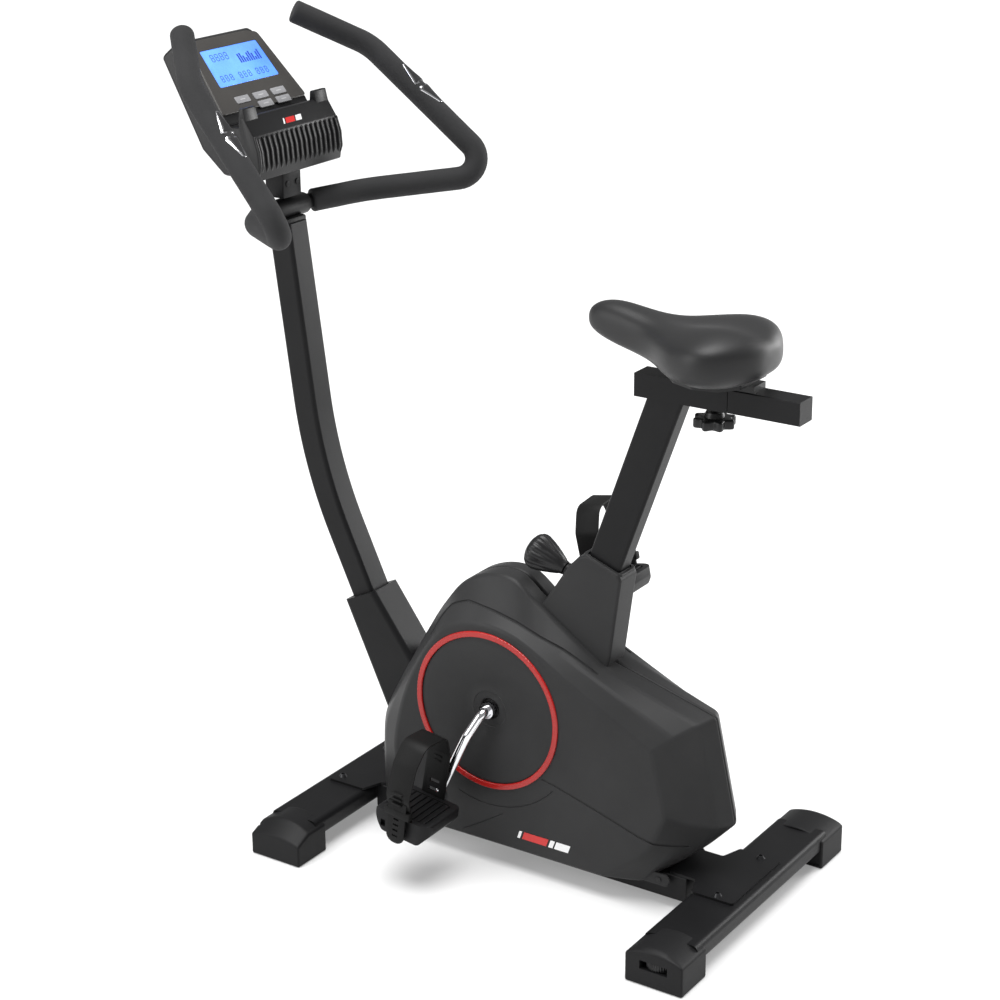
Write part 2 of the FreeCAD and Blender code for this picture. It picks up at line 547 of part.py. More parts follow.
def make_crank():
    bearing_outer = dim["bearing_radius"]
    bore = dim["axle_radius"] + dim["running_gap"]
    half = dim["housing_half"]
    shell = rod(dim["housing_radius"], crank.x, crank.z, -half, half)
    web = Part.makeBox(60, 40, 34, Vector(-60, -20, -17))
    web.Placement = Placement(crank, Rotation(Vector(0, 1, 0), -dim["seat_lean"]))
    seat_solid = seat_prism(tube_outer[0], tube_outer[1], rail_top, dim["tube_top_z"], 8)
    shell = shell.fuse(web).cut(seat_solid).cut(rod(bearing_outer, crank.x, crank.z, -half - 1, half + 1))
    shell = max(shell.Solids, key=lambda solid: solid.Volume)
    shape_part("crank_housing", shell)
    width = dim["bearing_width"]
    bearings = [ring_at_crank(bearing_outer, bore, half - 2 - width, half - 2),
                ring_at_crank(bearing_outer, bore, 2 - half, 2 - half + width)]
    shape_part("crank_bearings", Part.makeCompound(bearings))
    axle = doc.addObject("Part::Cylinder", "crank_axle")
    axle.setExpression("Radius", sheet_size("axle_radius"))
    axle.setExpression("Height", "2 * Sizes.axle_half")
    axle.Placement = Placement(crank - Vector(0, dim["axle_half"], 0), ALONG_Y)
    keep(axle, "crank_axle")

    arm_middle = ARM_FACE - dim["arm_radius"] - 4
    end = ARM_DOWN * dim["crank_length"]
    route = [Vector(0, ARM_START, 0), Vector(0, 94, 0), ARM_DOWN * 42 + Vector(0, 114, 0),
             end + Vector(0, arm_middle, 0)]
    tube = tube_along(path_wire(route, [0, 14, 40, 0]), dim["arm_radius"])
    hub = rod(13, 0, 0, ARM_START, 84)
    eye = rod(14, end.x, end.z, ARM_FACE - 20, ARM_FACE)
    arm = tube.fuse(hub).fuse(eye).removeSplitter()
    shape_part("crank_arm_left", arm, Placement(crank, Rotation()))
    other_side = mirrored_y(arm.copy())
    other_side.rotate(Vector(0, 0, 0), Vector(0, 1, 0), 180)
    shape_part("crank_arm_right", other_side, Placement(crank, Rotation()))
    spindle_end = dim["pedal_middle_y"] + dim["pedal_width"] / 2 - 3
    spindles = []
    for side in (1, -1):
        middle = crank + end * side
        low, high = sorted((side * ARM_FACE, side * spindle_end))
        spindles.append(rod(dim["spindle_radius"], middle.x, middle.z, low, high))
    shape_part("pedal_spindles", Part.makeCompound(spindles))
    return end


def make_pedals(end):
    """Self-levelling pedals with a toe strap over each."""
    sole = [(-56, -4), (-54, 9), (47, 9), (51, -2), (32, -28), (-38, -28)]
    route = [(-46, 9), (-50, 90), (-34, 131), (26, 136), (48, 105), (60, 52), (45, 9)]
    loop = band(route[::-1], dim["strap_thickness"])
    bends = [0, 24, 22, 24, 40, 25, 0]
    loop_radii = bends[::-1] + bends
    tail = [(51, 44), (51, -34), (54, -36), (57, 44)]
    for side, name in ((1, "left"), (-1, "right")):
        middle = crank + end * side + Vector(0, side * dim["pedal_middle_y"], 0)
        place = Placement(middle, Rotation(Vector(0, 1, 0), -dim[f"{name}_pedal_tilt"]))
        pedal = prism("pedal_" + name, "XZ_Plane", [closed_edges(sole, [7, 4, 4, 5, 8, 8])],
                      sheet_size("pedal_width"), place)
        bore = Part.Circle(Vector(0, 0, 0), Vector(0, 0, 1), dim["spindle_radius"] + dim["running_gap"])
        pocket(pedal, "XZ_Plane", [[bore]], "Sizes.pedal_width + 2")
        flip = [(side * y, z) for y, z in loop]
        tail_flip = [(side * y, z) for y, z in tail]
        outlines = [closed_edges(flip, loop_radii)]
        strap = prism(f"pedal_{name}_strap", "YZ_Plane", outlines, sheet_size("strap_width"), place)
        hang = doc.addObject("PartDesign::Pad", f"{strap.Name}_tail")
        strap.addObject(hang)
        hang.Profile = add_sketch(strap, "YZ_Plane", f"{strap.Name}_tail_outline", [closed_edges(tail_flip)])
        hang.Midplane = True
        hang.setExpression("Length", "Sizes.strap_width - 6")
        strap.Tip = hang


# ---------------------------------------------------------------- drive inside the casing
def belt_lines(big, small):
    """Upper and lower tangent lines of the two pulleys, offset to the belt's inner face."""
    big_middle = Vector(dim["crank_x"], dim["crank_z"], 0)
    small_middle = Vector(dim["flywheel_x"], dim["flywheel_z"], 0)
    apart = small_middle - big_middle
    tilt = math.asin((big - small) / apart.Length)
    heading = math.atan2(apart.y, apart.x)
    lines = []
    for sign in (1, -1):
        normal_angle = heading + sign * (math.pi / 2 - tilt)
        normal = Vector(math.cos(normal_angle), math.sin(normal_angle), 0)
        lines.append((big_middle + normal * big, small_middle + normal * small, normal))
    return big_middle, small_middle, lines


def belt_face(big, small):
    """Closed face that a belt of these wrap radii goes round."""
    big_middle, small_middle, (first, second) = belt_lines(big, small)
    away = (big_middle - small_middle).normalize()
    edges = [Part.LineSegment(first[0], first[1]), Part.Arc(first[1], small_middle - away * small, second[1]),
             Part.LineSegment(second[1], second[0]), Part.Arc(second[0], big_middle + away * big, first[0])]
    return Part.Face(Part.Wire([e.toShape() for e in edges]))


def upright(shape, y_middle):
    """A solid drawn in the XY plane and centred on it, stood up in XZ about a Y position."""
    stand = Placement(Vector(0, y_middle, 0), Rotation(Vector(1, 0, 0), 90))
    shape.Placement = stand.multiply(shape.Placement)
    return shape


def make_drive():
    big, small = dim["pulley_radius"], dim["small_pulley_radius"]
    middle_y = dim["belt_middle_y"]
    half = dim["belt_width"] / 2
    axle_r = dim["axle_radius"]
    outline = [(axle_r, -9), (24, -9), (24, -3), (big - 10, -3), (big - 10, -half - 1), (big, -half - 1),
               (big, half + 1), (big - 10, half + 1), (big - 10, 3), (24, 3), (24, 9), (axle_r, 9)]
    pulley = revolved("drive_pulley", outline, at(crank.x, middle_y, crank.z))
    holes = []
    for step in range(6):
        angle = math.radians(60 * step)
        holes.append([Part.Circle(Vector(57 * math.cos(angle), 57 * math.sin(angle), 0), Vector(0, 0, 1), 20)])
    pocket(pulley, "XZ_Plane", holes, "Sizes.belt_width")

    gap = dim["fit_gap"]
    outer = belt_face(big + gap + dim["belt_thickness"], small + gap + dim["belt_thickness"])
    inner = belt_face(big + gap, small + gap)
    loop = outer.extrude(Vector(0, 0, 2 * half)).cut(inner.extrude(Vector(0, 0, 2 * half)))
    loop.translate(Vector(0, 0, -half))
    shape_part("drive_belt", upright(loop, middle_y))

    bore = dim["flywheel_axle"] + dim["running_gap"]
    wide = dim["flywheel_width"] / 2
    radius = dim["flywheel_radius"]
    outline = [(bore, -16), (22, -16), (22, -5), (radius - 24, -5), (radius - 24, -wide), (radius, -wide),
               (radius, wide), (radius - 24, wide), (radius - 24, 5), (22, 5), (12, 16),
               (12, middle_y - half - 4), (small, middle_y - half - 4), (small, middle_y + half + 1), (bore, middle_y + half + 1)]
    revolved("flywheel", outline, at(dim["flywheel_x"], 0, dim["flywheel_z"]))
    axle = doc.addObject("Part::Cylinder", "flywheel_axle")
    axle.setExpression("Radius", sheet_size("flywheel_axle"))
    axle.Height = 96
    axle.Placement = Placement(Vector(dim["flywheel_x"], -26, dim["flywheel_z"]), ALONG_Y)
    keep(axle, "flywheel_axle")

    _, _, lines = belt_lines(big + gap + dim["belt_thickness"], small + gap + dim["belt_thickness"])
    top_point, end_point, normal = min(lines, key=lambda line: line[0].y)
    touch = top_point * 0.45 + end_point * 0.55 + normal * (dim["idler_radius"] + gap)
    idler_x, idler_z = touch.x, touch.y
    pin_bore = dim["idler_pin"] + dim["running_gap"]
    revolved("idler_pulley", [(pin_bore, -half - 1), (dim["idler_radius"], -half - 1), (dim["idler_radius"], half + 1),
                              (pin_bore, half + 1)], at(idler_x, middle_y, idler_z))

    fx, fz = dim["flywheel_x"], dim["flywheel_z"]
    strip = block(fx - 30, idler_x + 16, -26, 70, rail_top, rail_top + 4)
    plates = []
    for y_low, y_high in ((-26, -22), (66, 70)):
        plate = shape_prism([(fx - 30, rail_top), (fx - 16, fz + 16), (fx + 16, fz + 16), (fx + 30, rail_top)],
                            4, y_low, y_high)
        plates.append(plate)
    arm = shape_prism([(idler_x - 12, rail_top), (idler_x - 9, idler_z + 9), (idler_x + 9, idler_z + 9),
                       (idler_x + 12, rail_top)], 3, 58, 62)
    pin = rod(dim["idler_pin"], idler_x, idler_z, middle_y - half - 1, 59)
    bracket = strip.fuse(plates[0]).fuse(plates[1]).fuse(arm).fuse(pin)
    bracket = bracket.cut(rod(dim["flywheel_axle"], fx, fz, -26, 70))

    pivot = Vector(-153, 0, 305)
    reach = radius + dim["magnet_gap"]
    ears = []
    seat_solid = seat_prism(tube_outer[0], tube_outer[1], rail_top, dim["tube_top_z"])
    for y_low, y_high in ((-20, -17), (17, 20)):
        ear = shape_prism([(-164, 292), (-164, 318), (-100, 340), (-100, 300)], [8, 8, 0, 0], y_low, y_high)
        ears.append(max(ear.cut(seat_solid).Solids, key=lambda solid: -solid.CenterOfMass.x))
    hanger = ears[0].fuse(ears[1]).fuse(rod(4, pivot.x, pivot.z, -20, 20)).removeSplitter()
    shape_part("drive_brackets", Part.makeCompound([bracket.removeSplitter(), hanger]))

    shoe = Part.makeCylinder(reach + dim["magnet_depth"], 28, Vector(0, 0, -14), Vector(0, 0, 1), 70)
    shoe = shoe.cut(Part.makeCylinder(reach, 30, Vector(0, 0, -15)))
    shoe.rotate(Vector(0, 0, 0), Vector(0, 0, 1), 52)
    shoe = upright(shoe, 0)
    shoe.translate(Vector(fx, 0, fz))
    link = shape_prism([(-170, 296), (-164, 306), (-158, 314), (-147, 313), (-145, 299), (-153, 294)], 3, -14, 14)
    bore_cut = rod(4 + dim["running_gap"], pivot.x, pivot.z, -15, 15)
    wheel_room = rod(reach, fx, fz, -20, 20)
    shape_part("magnet_arm", shoe.fuse(link).cut(bore_cut).cut(wheel_room).removeSplitter())
    motor = block(24, 76, -40, 6, rail_top, 102)
    shape_part("resistance_motor", motor.makeFillet(4, [e for e in motor.Edges if e.Length < 47]))


# ---------------------------------------------------------------- casing
# Outlines of the casing at four distances from the middle plane, clockwise from the lower front corner.
CASING_MIDDLE = [(229, 34), (227, 151), (220, 199), (185, 270), (162, 310), (130, 366), (98, 417), (60, 462),
                 (12, 487), (-35, 487), (-75, 459), (-199, 376), (-386, 325), (-424, 151), (-373, 100), (-300, 42)]
CASING_CREST = [(229, 34), (227, 151), (220, 199), (185, 270), (162, 310), (130, 366), (98, 417), (60, 462),
                (12, 485), (-35, 485), (-75, 457), (-199, 374), (-370, 318), (-406, 155), (-370, 102), (-300, 42)]
CASING_SHOULDER = [(200, 34), (205, 151), (198, 201), (168, 268), (146, 308), (114, 362), (72, 424), (33, 444),
                   (-17, 437), (-60, 427), (-95, 414), (-190, 372), (-342, 300), (-372, 163), (-342, 102), (-290, 38)]
CASING_PANEL = [(150, 38), (168, 160), (161, 211), (145, 269), (121, 325), (98, 362), (66, 398), (30, 413),
                (-15, 419), (-60, 413), (-95, 398), (-153, 364), (-316, 279), (-342, 175), (-305, 100), (-230, 40)]
CASING_LEVELS = [0, 32, 60]


def casing_loft(levels, outlines):
    wires = []
    for y, outline in zip(levels, outlines):
        points = [Vector(x, y, z) for x, z in outline]
        wires.append(Part.makePolygon(points + points[:1]))
    return Part.makeLoft(wires, True, True)


def make_casing():
    """Two moulded shells that meet on the middle plane, dished discs and accent rings."""
    wall = dim["casing_wall"]
    panel = dim["panel_y"]
    outlines = [CASING_MIDDLE, CASING_CREST, CASING_SHOULDER, CASING_PANEL]
    outer = casing_loft(CASING_LEVELS + [panel], outlines)
    inner_outlines = [inset(outline, wall) for outline in outlines]
    inner = casing_loft([-1] + CASING_LEVELS[1:] + [panel - wall], inner_outlines)
    shell = outer.cut(inner)
    gap = dim["fit_gap"]
    socket_room = lower_mast_prism(dim["socket_depth"] + 2 * gap, dim["socket_width"] + 2 * gap, rail_top, 420)
    socket_room = socket_room.fuse(socket_flare(gap))
    half = dim["cover_width"] / 2
    cover_room = shape_prism(COVER, [3, 3, 12, 18, 0, 0, 0, 0, 0], -half, half)
    rail_room = block(dim["rail_rear"] - gap, 400, -1, dim["rail_width"] / 2 + gap, 0, plate_top + gap)
    plate_room = block(160, 400, -1, 90, 30, plate_top + gap)
    disc_room = rod(dim["disc_radius"] + gap, crank.x, crank.z, panel - 10, panel + 10)
    shell = shell.cut(rail_room).cut(plate_room).cut(disc_room).cut(socket_room).cut(cover_room)
    shell = max(shell.Solids, key=lambda solid: solid.Volume)
    inlet_room = Part.makeCylinder(5, 12, Vector(222, -16, 110), Vector(1, 0, 0))
    shape_part("casing_left", shell)
    shape_part("casing_right", mirrored_y(shell).cut(inlet_room))
    inlet = Part.makeCylinder(5, 14, Vector(216, -16, 110), Vector(1, 0, 0))
    front_x = 229 - (110 - 34) * 2 / 117
    flange = Part.makeCylinder(8, 3, Vector(front_x + 0.2, -16, 110), Vector(1, 0, 0))
    socket = Part.makeCylinder(2.8, 20, Vector(219, -16, 110), Vector(1, 0, 0))
    shape_part("dc_inlet", inlet.fuse(flange).cut(socket).removeSplitter())

    dish, hole = dim["dish_depth"], dim["hub_hole"]
    edge = dim["disc_radius"]
    outline = [(hole, panel - dish - wall), (hole + 12, panel - dish - wall), (edge - 14, panel - wall - 1),
               (edge, panel - wall - 1), (edge, panel), (edge - 12, panel), (hole + 14, panel - dish), (hole, panel - dish)]
    body = revolved("side_discs", outline, at(crank.x, 0, crank.z))
    sketch = add_sketch(body, "XY_Plane", "side_discs_right_outline",
                        [closed_edges([(r, -y) for r, y in outline])])
    turn = body.newObject("PartDesign::Revolution", "side_discs_right_turn")
    turn.Profile = sketch
    turn.ReferenceAxis = (sketch, ["V_Axis"])
    turn.Angle = 360
    rings = []
    for side in (1, -1):
        low, high = sorted((side * panel, side * (panel + dim["ring_rise"])))
        ring = ring_at_crank(dim["ring_radius"], dim["disc_radius"] + gap, low, high)
        round_edges = [e for e in ring.Edges if abs(abs(e.Vertexes[0].Point.y) - panel - dim["ring_rise"]) < EPS]
        rings.append(ring.makeFillet(1.4, round_edges))
    shape_part("accent_rings", Part.makeCompound(rings))
    body.Tip = turn


def make_fasteners():
    bolts = []
    radius, head, rise = dim["foot_bolt_radius"], dim["foot_bolt_head"], dim["foot_bolt_rise"]
    for x, y_far in ((dim["rear_axis_x"], 70), (dim["front_axis_x"] + 13, 62)):
        for side in (1, -1):
            dome = Part.makeCone(head, head - 3, rise, Vector(x, side * y_far, plate_top))
            socket = Part.makeCylinder(radius - 1, 3, Vector(x, side * y_far, plate_top + rise - 2.5))
            bolts.append(dome.cut(socket))
    shape_part("frame_bolts", Part.makeCompound(bolts))
    screws = []
    for side in (1, -1):
        for x, z in ((-120, 64), (60, 64)):
            dome = Part.makeCone(5, 3.5, 2.2)
            turn = Rotation(Vector(0, 0, 1), Vector(0, side, 0))
            dome.Placement = Placement(Vector(x, side * dim["panel_y"], z), turn)
            screws.append(dome)
    shape_part("casing_screws", Part.makeCompound(screws))


# ---------------------------------------------------------------- handlebar and console
def bar_route():
    """Left half of the handlebar's centre line, from the clamp to the grip's tip."""
    points = [Vector(dim["bar_x"], 0, dim["bar_z"]), Vector(dim["bar_x"], 58, dim["bar_z"]),
              Vector(350, 140, 1038), Vector(200, 289, 1048), Vector(410, 224, 1245), Vector(496, 139, 1304)]
    return points, [0, 45, 150, 33, 80, 0]


def make_handlebar():
    points, radii = bar_route()
    whole = path_wire(points, radii)
    foam_edges = whole.OrderedEdges[2:]
    foam_wire = Part.Wire(foam_edges)
    half_bar = tube_along(whole, dim["bar_radius"])
    half_bore = tube_along(whole, dim["bar_radius"] - dim["bar_wall"])
    bar = half_bar.fuse(mirrored_y(half_bar)).cut(half_bore).cut(mirrored_y(half_bore)).removeSplitter()
    shape_part("handlebar_tube", bar)
    foam = tube_along(foam_wire, dim["foam_radius"]).cut(half_bar)
    tip = (points[-1] - points[-2]).normalize()
    plug = Part.makeCylinder(dim["foam_radius"], 4, points[-1], tip)
    foam = foam.fuse(plug).removeSplitter()
    shape_part("foam_grips", Part.makeCompound([foam, mirrored_y(foam)]))

    run = (points[4] - points[3]).normalize()
    facing = Vector(-run.z, 0, run.x).normalize()
    plates = []
    for start, end in ((140, 191), (195, 246)):
        origin = points[3] + run * start
        outer = Part.makeCylinder(dim["sensor_radius"], end - start, Vector(0, 0, 0), Vector(0, 0, 1), 150)
        plate = outer.cut(Part.makeCylinder(dim["foam_radius"] + 0.02, end - start))
        plate.rotate(Vector(0, 0, 0), Vector(0, 0, 1), -75)
        side = run.cross(facing)
        plate.Placement = Placement(origin, Rotation(facing, side, run, "XYZ")).multiply(plate.Placement)
        plates.append(plate)
    plates += [mirrored_y(plate) for plate in plates]
    shape_part("pulse_sensors", Part.makeCompound(plates))

    half = dim["clamp_width"] / 2
    gap = dim["running_gap"]
    depth = dim["clamp_depth"] / 2
    split = dim["bar_z"]
    top = Vector(mast_top_line(dim["mast_top_z"]), 0, dim["mast_top_z"])
    bar_bore = rod(dim["bar_radius"] + gap, dim["bar_x"], split, -half - 1, half + 1)
    base = block(dim["bar_x"] - depth, dim["bar_x"] + depth, -half, half, top.z - 16, split - 0.5)
    mast_top = prism_solid_of_mast()
    base = base.cut(mast_top)
    base = max(base.Solids, key=lambda solid: solid.Volume)
    cap = block(dim["bar_x"] - depth, dim["bar_x"] + depth, -half, half, split + 0.5, split + 22)
    cap = cap.makeFillet(5, [e for e in cap.Edges if abs(e.Vertexes[0].Z - split - 22) < EPS
                             and abs(e.Vertexes[-1].Z - split - 22) < EPS])
    clamp = Part.makeCompound([base.cut(bar_bore), cap.cut(bar_bore)])
    shape_part("handlebar_clamp", clamp)


def prism_solid_of_mast():
    """Everything that the top of the mast fills, cut square at its upper end."""
    outline = mast_outline(dim["mast_depth"] / 2, dim["mast_foot_z"], dim["mast_top_z"], dim["mast_bend"])
    face = Part.Face(Part.Wire(Part.__sortEdges__([g.toShape() for g in outline])))
    half = dim["mast_width"] / 2
    solid = face.extrude(Vector(0, 0, 2 * half))
    solid.Placement = Placement(Vector(0, half, 0), Rotation(Vector(1, 0, 0), 90))
    return solid


FACE_TURN = Rotation(Vector(0, 1, 0), -dim["face_slope"])
FACE_UP = Vector(math.cos(math.radians(dim["face_slope"])), 0, math.sin(math.radians(dim["face_slope"])))
FACE_OUT = Vector(-FACE_UP.z, 0, FACE_UP.x)
FACE_ORIGIN = Vector(dim["face_x"], 0, dim["face_z"])


def on_face(along, y, out):
    """Point at a distance up the console's face, across it and out of it."""
    return FACE_ORIGIN + FACE_UP * along + Vector(0, y, 0) + FACE_OUT * out


def face_solid(points, radius, out_low, out_high):
    """Plate on the console's face. Its points are (distance up the face, y)."""
    edges = [g.toShape() for g in closed_edges(points, radius)]
    solid = Part.Face(Part.Wire(Part.__sortEdges__(edges))).extrude(Vector(0, 0, out_high - out_low))
    solid.Placement = Placement(on_face(0, 0, out_low), FACE_TURN)
    return solid


def make_console():
    """Bracket, housing, bezel with its screen and buttons, and the ribbed tablet ledge."""
    cap_top = dim["bar_z"] + 22
    half = dim["housing_width"] / 2
    back = -dim["face_thickness"]
    low_end, high_end = on_face(-47, 0, back), on_face(88, 0, back)
    side = [(413, 1082), (443, 1163), (low_end.x, low_end.z), (high_end.x, high_end.z), (556, 1282), (571, 1260),
            (500, 1120), (462, 1082)]
    housing = prism("console_housing", "XZ_Plane", [closed_edges(side, [2, 0, 0, 6, 8, 10, 20, 10])],
                    sheet_size("housing_width"))
    pocket(housing, "XZ_Plane", [closed_edges(inset(side, dim["casing_wall"]))],
           "Sizes.housing_width - 2 * Sizes.casing_wall")
    bracket = [(dim["bar_x"] - 19, cap_top), (dim["bar_x"] - 19, 1082), (dim["bar_x"] + 25, 1082), (dim["bar_x"] + 19, cap_top)]
    prism("console_bracket", "XZ_Plane", [closed_edges(bracket)], sheet_size("bracket_width"))

    face = face_solid([(-46, -104), (-46, 104), (82, 84), (88, 60), (88, -60), (82, -84)], [4, 4, 8, 30, 30, 8], back, 0)
    screen_half = dim["screen_width"] / 2
    screen = [(0, -screen_half), (0, screen_half), (dim["screen_depth"], screen_half - 4),
              (dim["screen_depth"], 4 - screen_half)]
    window = face_solid(screen, 3, back - 1, 1)
    glass = face_solid(inset(screen, dim["fit_gap"]), 3, back, -0.6)
    shape_part("lcd_screen", glass)
    places = [(-27, 1, "display"), (-27, 0, "mode"), (-27, -1, "set"), (-43, 0, "reset"), (-43, -1, "start")]
    for along, column, name in places:
        y = column * dim["button_pitch"] - 2
        wide, deep = dim["button_width"] / 2, dim["button_depth"] / 2 - 0.5
        outline = [(along - deep, y - wide), (along - deep, y + wide), (along + deep, y + wide), (along + deep, y - wide)]
        room = face_solid(outline, 2, back - 1, 1)
        face = face.cut(room)
        gap = dim["fit_gap"]
        small = [(along - deep + gap, y - wide + gap), (along - deep + gap, y + wide - gap),
                 (along + deep - gap, y + wide - gap), (along + deep - gap, y - wide + gap)]
        shape_part("button_" + name, face_solid(small, 1.7, back + 1, dim["button_rise"]))
    shape_part("console_face", face.cut(window))

    half = dim["ledge_width"] / 2
    side = [(386, 1082), (383, 1104), (385, 1128), (392, 1152), (410, 1179), (417, 1180), (422, 1163), (443, 1163), (413, 1082)]
    ledge = shape_prism(side, [3, 10, 14, 6, 3, 2, 2, 0, 0], -half, half)
    prong = [(408, 1176), (413, 1194), (420, 1193), (421, 1166), (415, 1166)]
    for y_low in (-half + 2, half - 33):
        ledge = ledge.fuse(shape_prism(prong, [0, 2, 2, 0, 0], y_low, y_low + 31))
    rib = [(386, 1086), (380.5, 1104), (382.4, 1128), (389, 1150), (394, 1150), (394, 1086)]
    rib_count = 17
    for step in range(rib_count):
        y = -half + 8 + step * (2 * half - 16) / (rib_count - 1)
        ledge = ledge.fuse(shape_prism(rib, [2, 8, 12, 2, 0, 0], y - 2, y + 2))
    shape_part("tablet_ledge", ledge.removeSplitter())


# ---------------------------------------------------------------- build, check and write
def main():
    make_base()
    make_caps()
    make_mast()
    make_seat_tube()
    make_seat()
    pedal_end = make_crank()
    make_pedals(pedal_end)
    make_drive()
    make_casing()
    make_fasteners()
    make_handlebar()
    make_console()
    doc.recompute()

    for item in doc.Objects:
        if "Invalid" in item.State or "Error" in item.State:
            raise RuntimeError(f"{item.Name} failed: {item.State}")
    os.makedirs("parts", exist_ok=True)
    middle = Placement(Vector(dim["datum_shift"], 0, 0), Rotation())
    for label, part in nodes.items():
        part.Placement = middle.multiply(part.Placement)
        shape = part.Shape
        if shape.isNull() or not shape.isValid() or not shape.Solids:
            raise RuntimeError(f"{label} has no valid solid")
        shape.exportStep(f"parts/{label}.step")
    print(len(nodes), "nodes written")


main()
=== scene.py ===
import json
import math

import bmesh
import bpy
from mathutils import Matrix, Quaternion, Vector
from mathutils.bvhtree import BVHTree
from mathutils.noise import noise


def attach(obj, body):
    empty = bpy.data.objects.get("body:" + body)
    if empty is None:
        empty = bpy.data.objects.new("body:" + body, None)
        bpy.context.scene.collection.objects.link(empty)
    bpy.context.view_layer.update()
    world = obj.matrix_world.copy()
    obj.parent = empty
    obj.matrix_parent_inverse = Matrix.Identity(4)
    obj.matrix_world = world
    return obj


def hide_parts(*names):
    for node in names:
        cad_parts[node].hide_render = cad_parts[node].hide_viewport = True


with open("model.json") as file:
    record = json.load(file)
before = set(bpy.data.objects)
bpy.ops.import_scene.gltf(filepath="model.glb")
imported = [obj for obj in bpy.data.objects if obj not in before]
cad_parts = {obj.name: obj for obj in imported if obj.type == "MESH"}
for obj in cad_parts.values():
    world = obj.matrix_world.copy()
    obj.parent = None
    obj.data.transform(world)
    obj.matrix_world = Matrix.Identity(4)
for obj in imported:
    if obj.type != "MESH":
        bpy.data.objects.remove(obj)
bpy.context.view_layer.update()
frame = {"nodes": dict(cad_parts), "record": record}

# Lengths below are millimetres in the drawing's datum, 27.5 mm behind the middle of the outer box.
# +X points to the handlebar, +Y to the rider's left, +Z up.
MM = 0.001
DATUM_X = -27.5
SMOOTH_ANGLE = 32


# ------------------------------------------------------------------ materials
def node_of(tree, kind, **values):
    made = tree.nodes.new(kind)
    for key, value in values.items():
        if isinstance(value, (int, float, tuple)) and key in made.inputs:
            made.inputs[key].default_value = value
        else:
            setattr(made, key, value)
    return made


def surface(name, colour, roughness, spread=0.18, grain=900, bump=0.12, metallic=0.0, coat=0.0, patch=9,
            rough_spread=0.08, stretch=(1, 1, 1), sheen=0.0, specular=0.5):
    """Procedural finish: patchy colour, uneven gloss and a fine moulded or cast grain."""
    material = bpy.data.materials.new(name)
    material.use_nodes = True
    tree = material.node_tree
    shader = tree.nodes["Principled BSDF"]
    shader.inputs["Metallic"].default_value = metallic
    shader.inputs["Coat Weight"].default_value = coat
    shader.inputs["Coat Roughness"].default_value = 0.12
    shader.inputs["Sheen Weight"].default_value = sheen
    shader.inputs["Specular IOR Level"].default_value = specular
    place = node_of(tree, "ShaderNodeTexCoord")
    scaled = node_of(tree, "ShaderNodeMapping")
    scaled.inputs["Scale"].default_value = stretch
    tree.links.new(place.outputs["Object"], scaled.inputs["Vector"])
    broad = node_of(tree, "ShaderNodeTexNoise", Scale=float(patch), Detail=5.0, Roughness=0.6)
    fine = node_of(tree, "ShaderNodeTexNoise", Scale=float(grain), Detail=3.0, Roughness=0.65)
    for texture in (broad, fine):
        tree.links.new(scaled.outputs["Vector"], texture.inputs["Vector"])
    ramp = node_of(tree, "ShaderNodeValToRGB")
    low = [c * (1 - spread) for c in colour]
    high = [min(1.0, c * (1 + spread)) for c in colour]
    ramp.color_ramp.elements[0].position = 0.3
    ramp.color_ramp.elements[1].position = 0.7
    ramp.color_ramp.elements[0].color = (*low, 1)
    ramp.color_ramp.elements[1].color = (*high, 1)
    tree.links.new(broad.outputs["Fac"], ramp.inputs["Fac"])
    tree.links.new(ramp.outputs["Color"], shader.inputs["Base Color"])
    gloss = node_of(tree, "ShaderNodeMapRange")
    gloss.inputs["To Min"].default_value = max(0.02, roughness - rough_spread)
    gloss.inputs["To Max"].default_value = min(1.0, roughness + rough_spread)
    tree.links.new(fine.outputs["Fac"], gloss.inputs["Value"])
    tree.links.new(gloss.outputs["Result"], shader.inputs["Roughness"])
    relief = node_of(tree, "ShaderNodeBump")
    relief.inputs["Strength"].default_value = bump
    relief.inputs["Distance"].default_value = 0.0004
    tree.links.new(fine.outputs["Fac"], relief.inputs["Height"])
    tree.links.new(relief.outputs["Normal"], shader.inputs["Normal"])
    return material


def lit_screen(name):
    """Blue backlit display, patchy in brightness, under a glossy window."""
    material = surface(name, (0.09, 0.24, 0.85), 0.18, spread=0.25, grain=60, bump=0.0, patch=14, coat=0.6)
    tree = material.node_tree
    shader = tree.nodes["Principled BSDF"]
    ramp = next(n for n in tree.nodes if n.type == "VALTORGB")
    tree.links.new(ramp.outputs["Color"], shader.inputs["Emission Color"])
    shader.inputs["Emission Strength"].default_value = 1.0
    return material


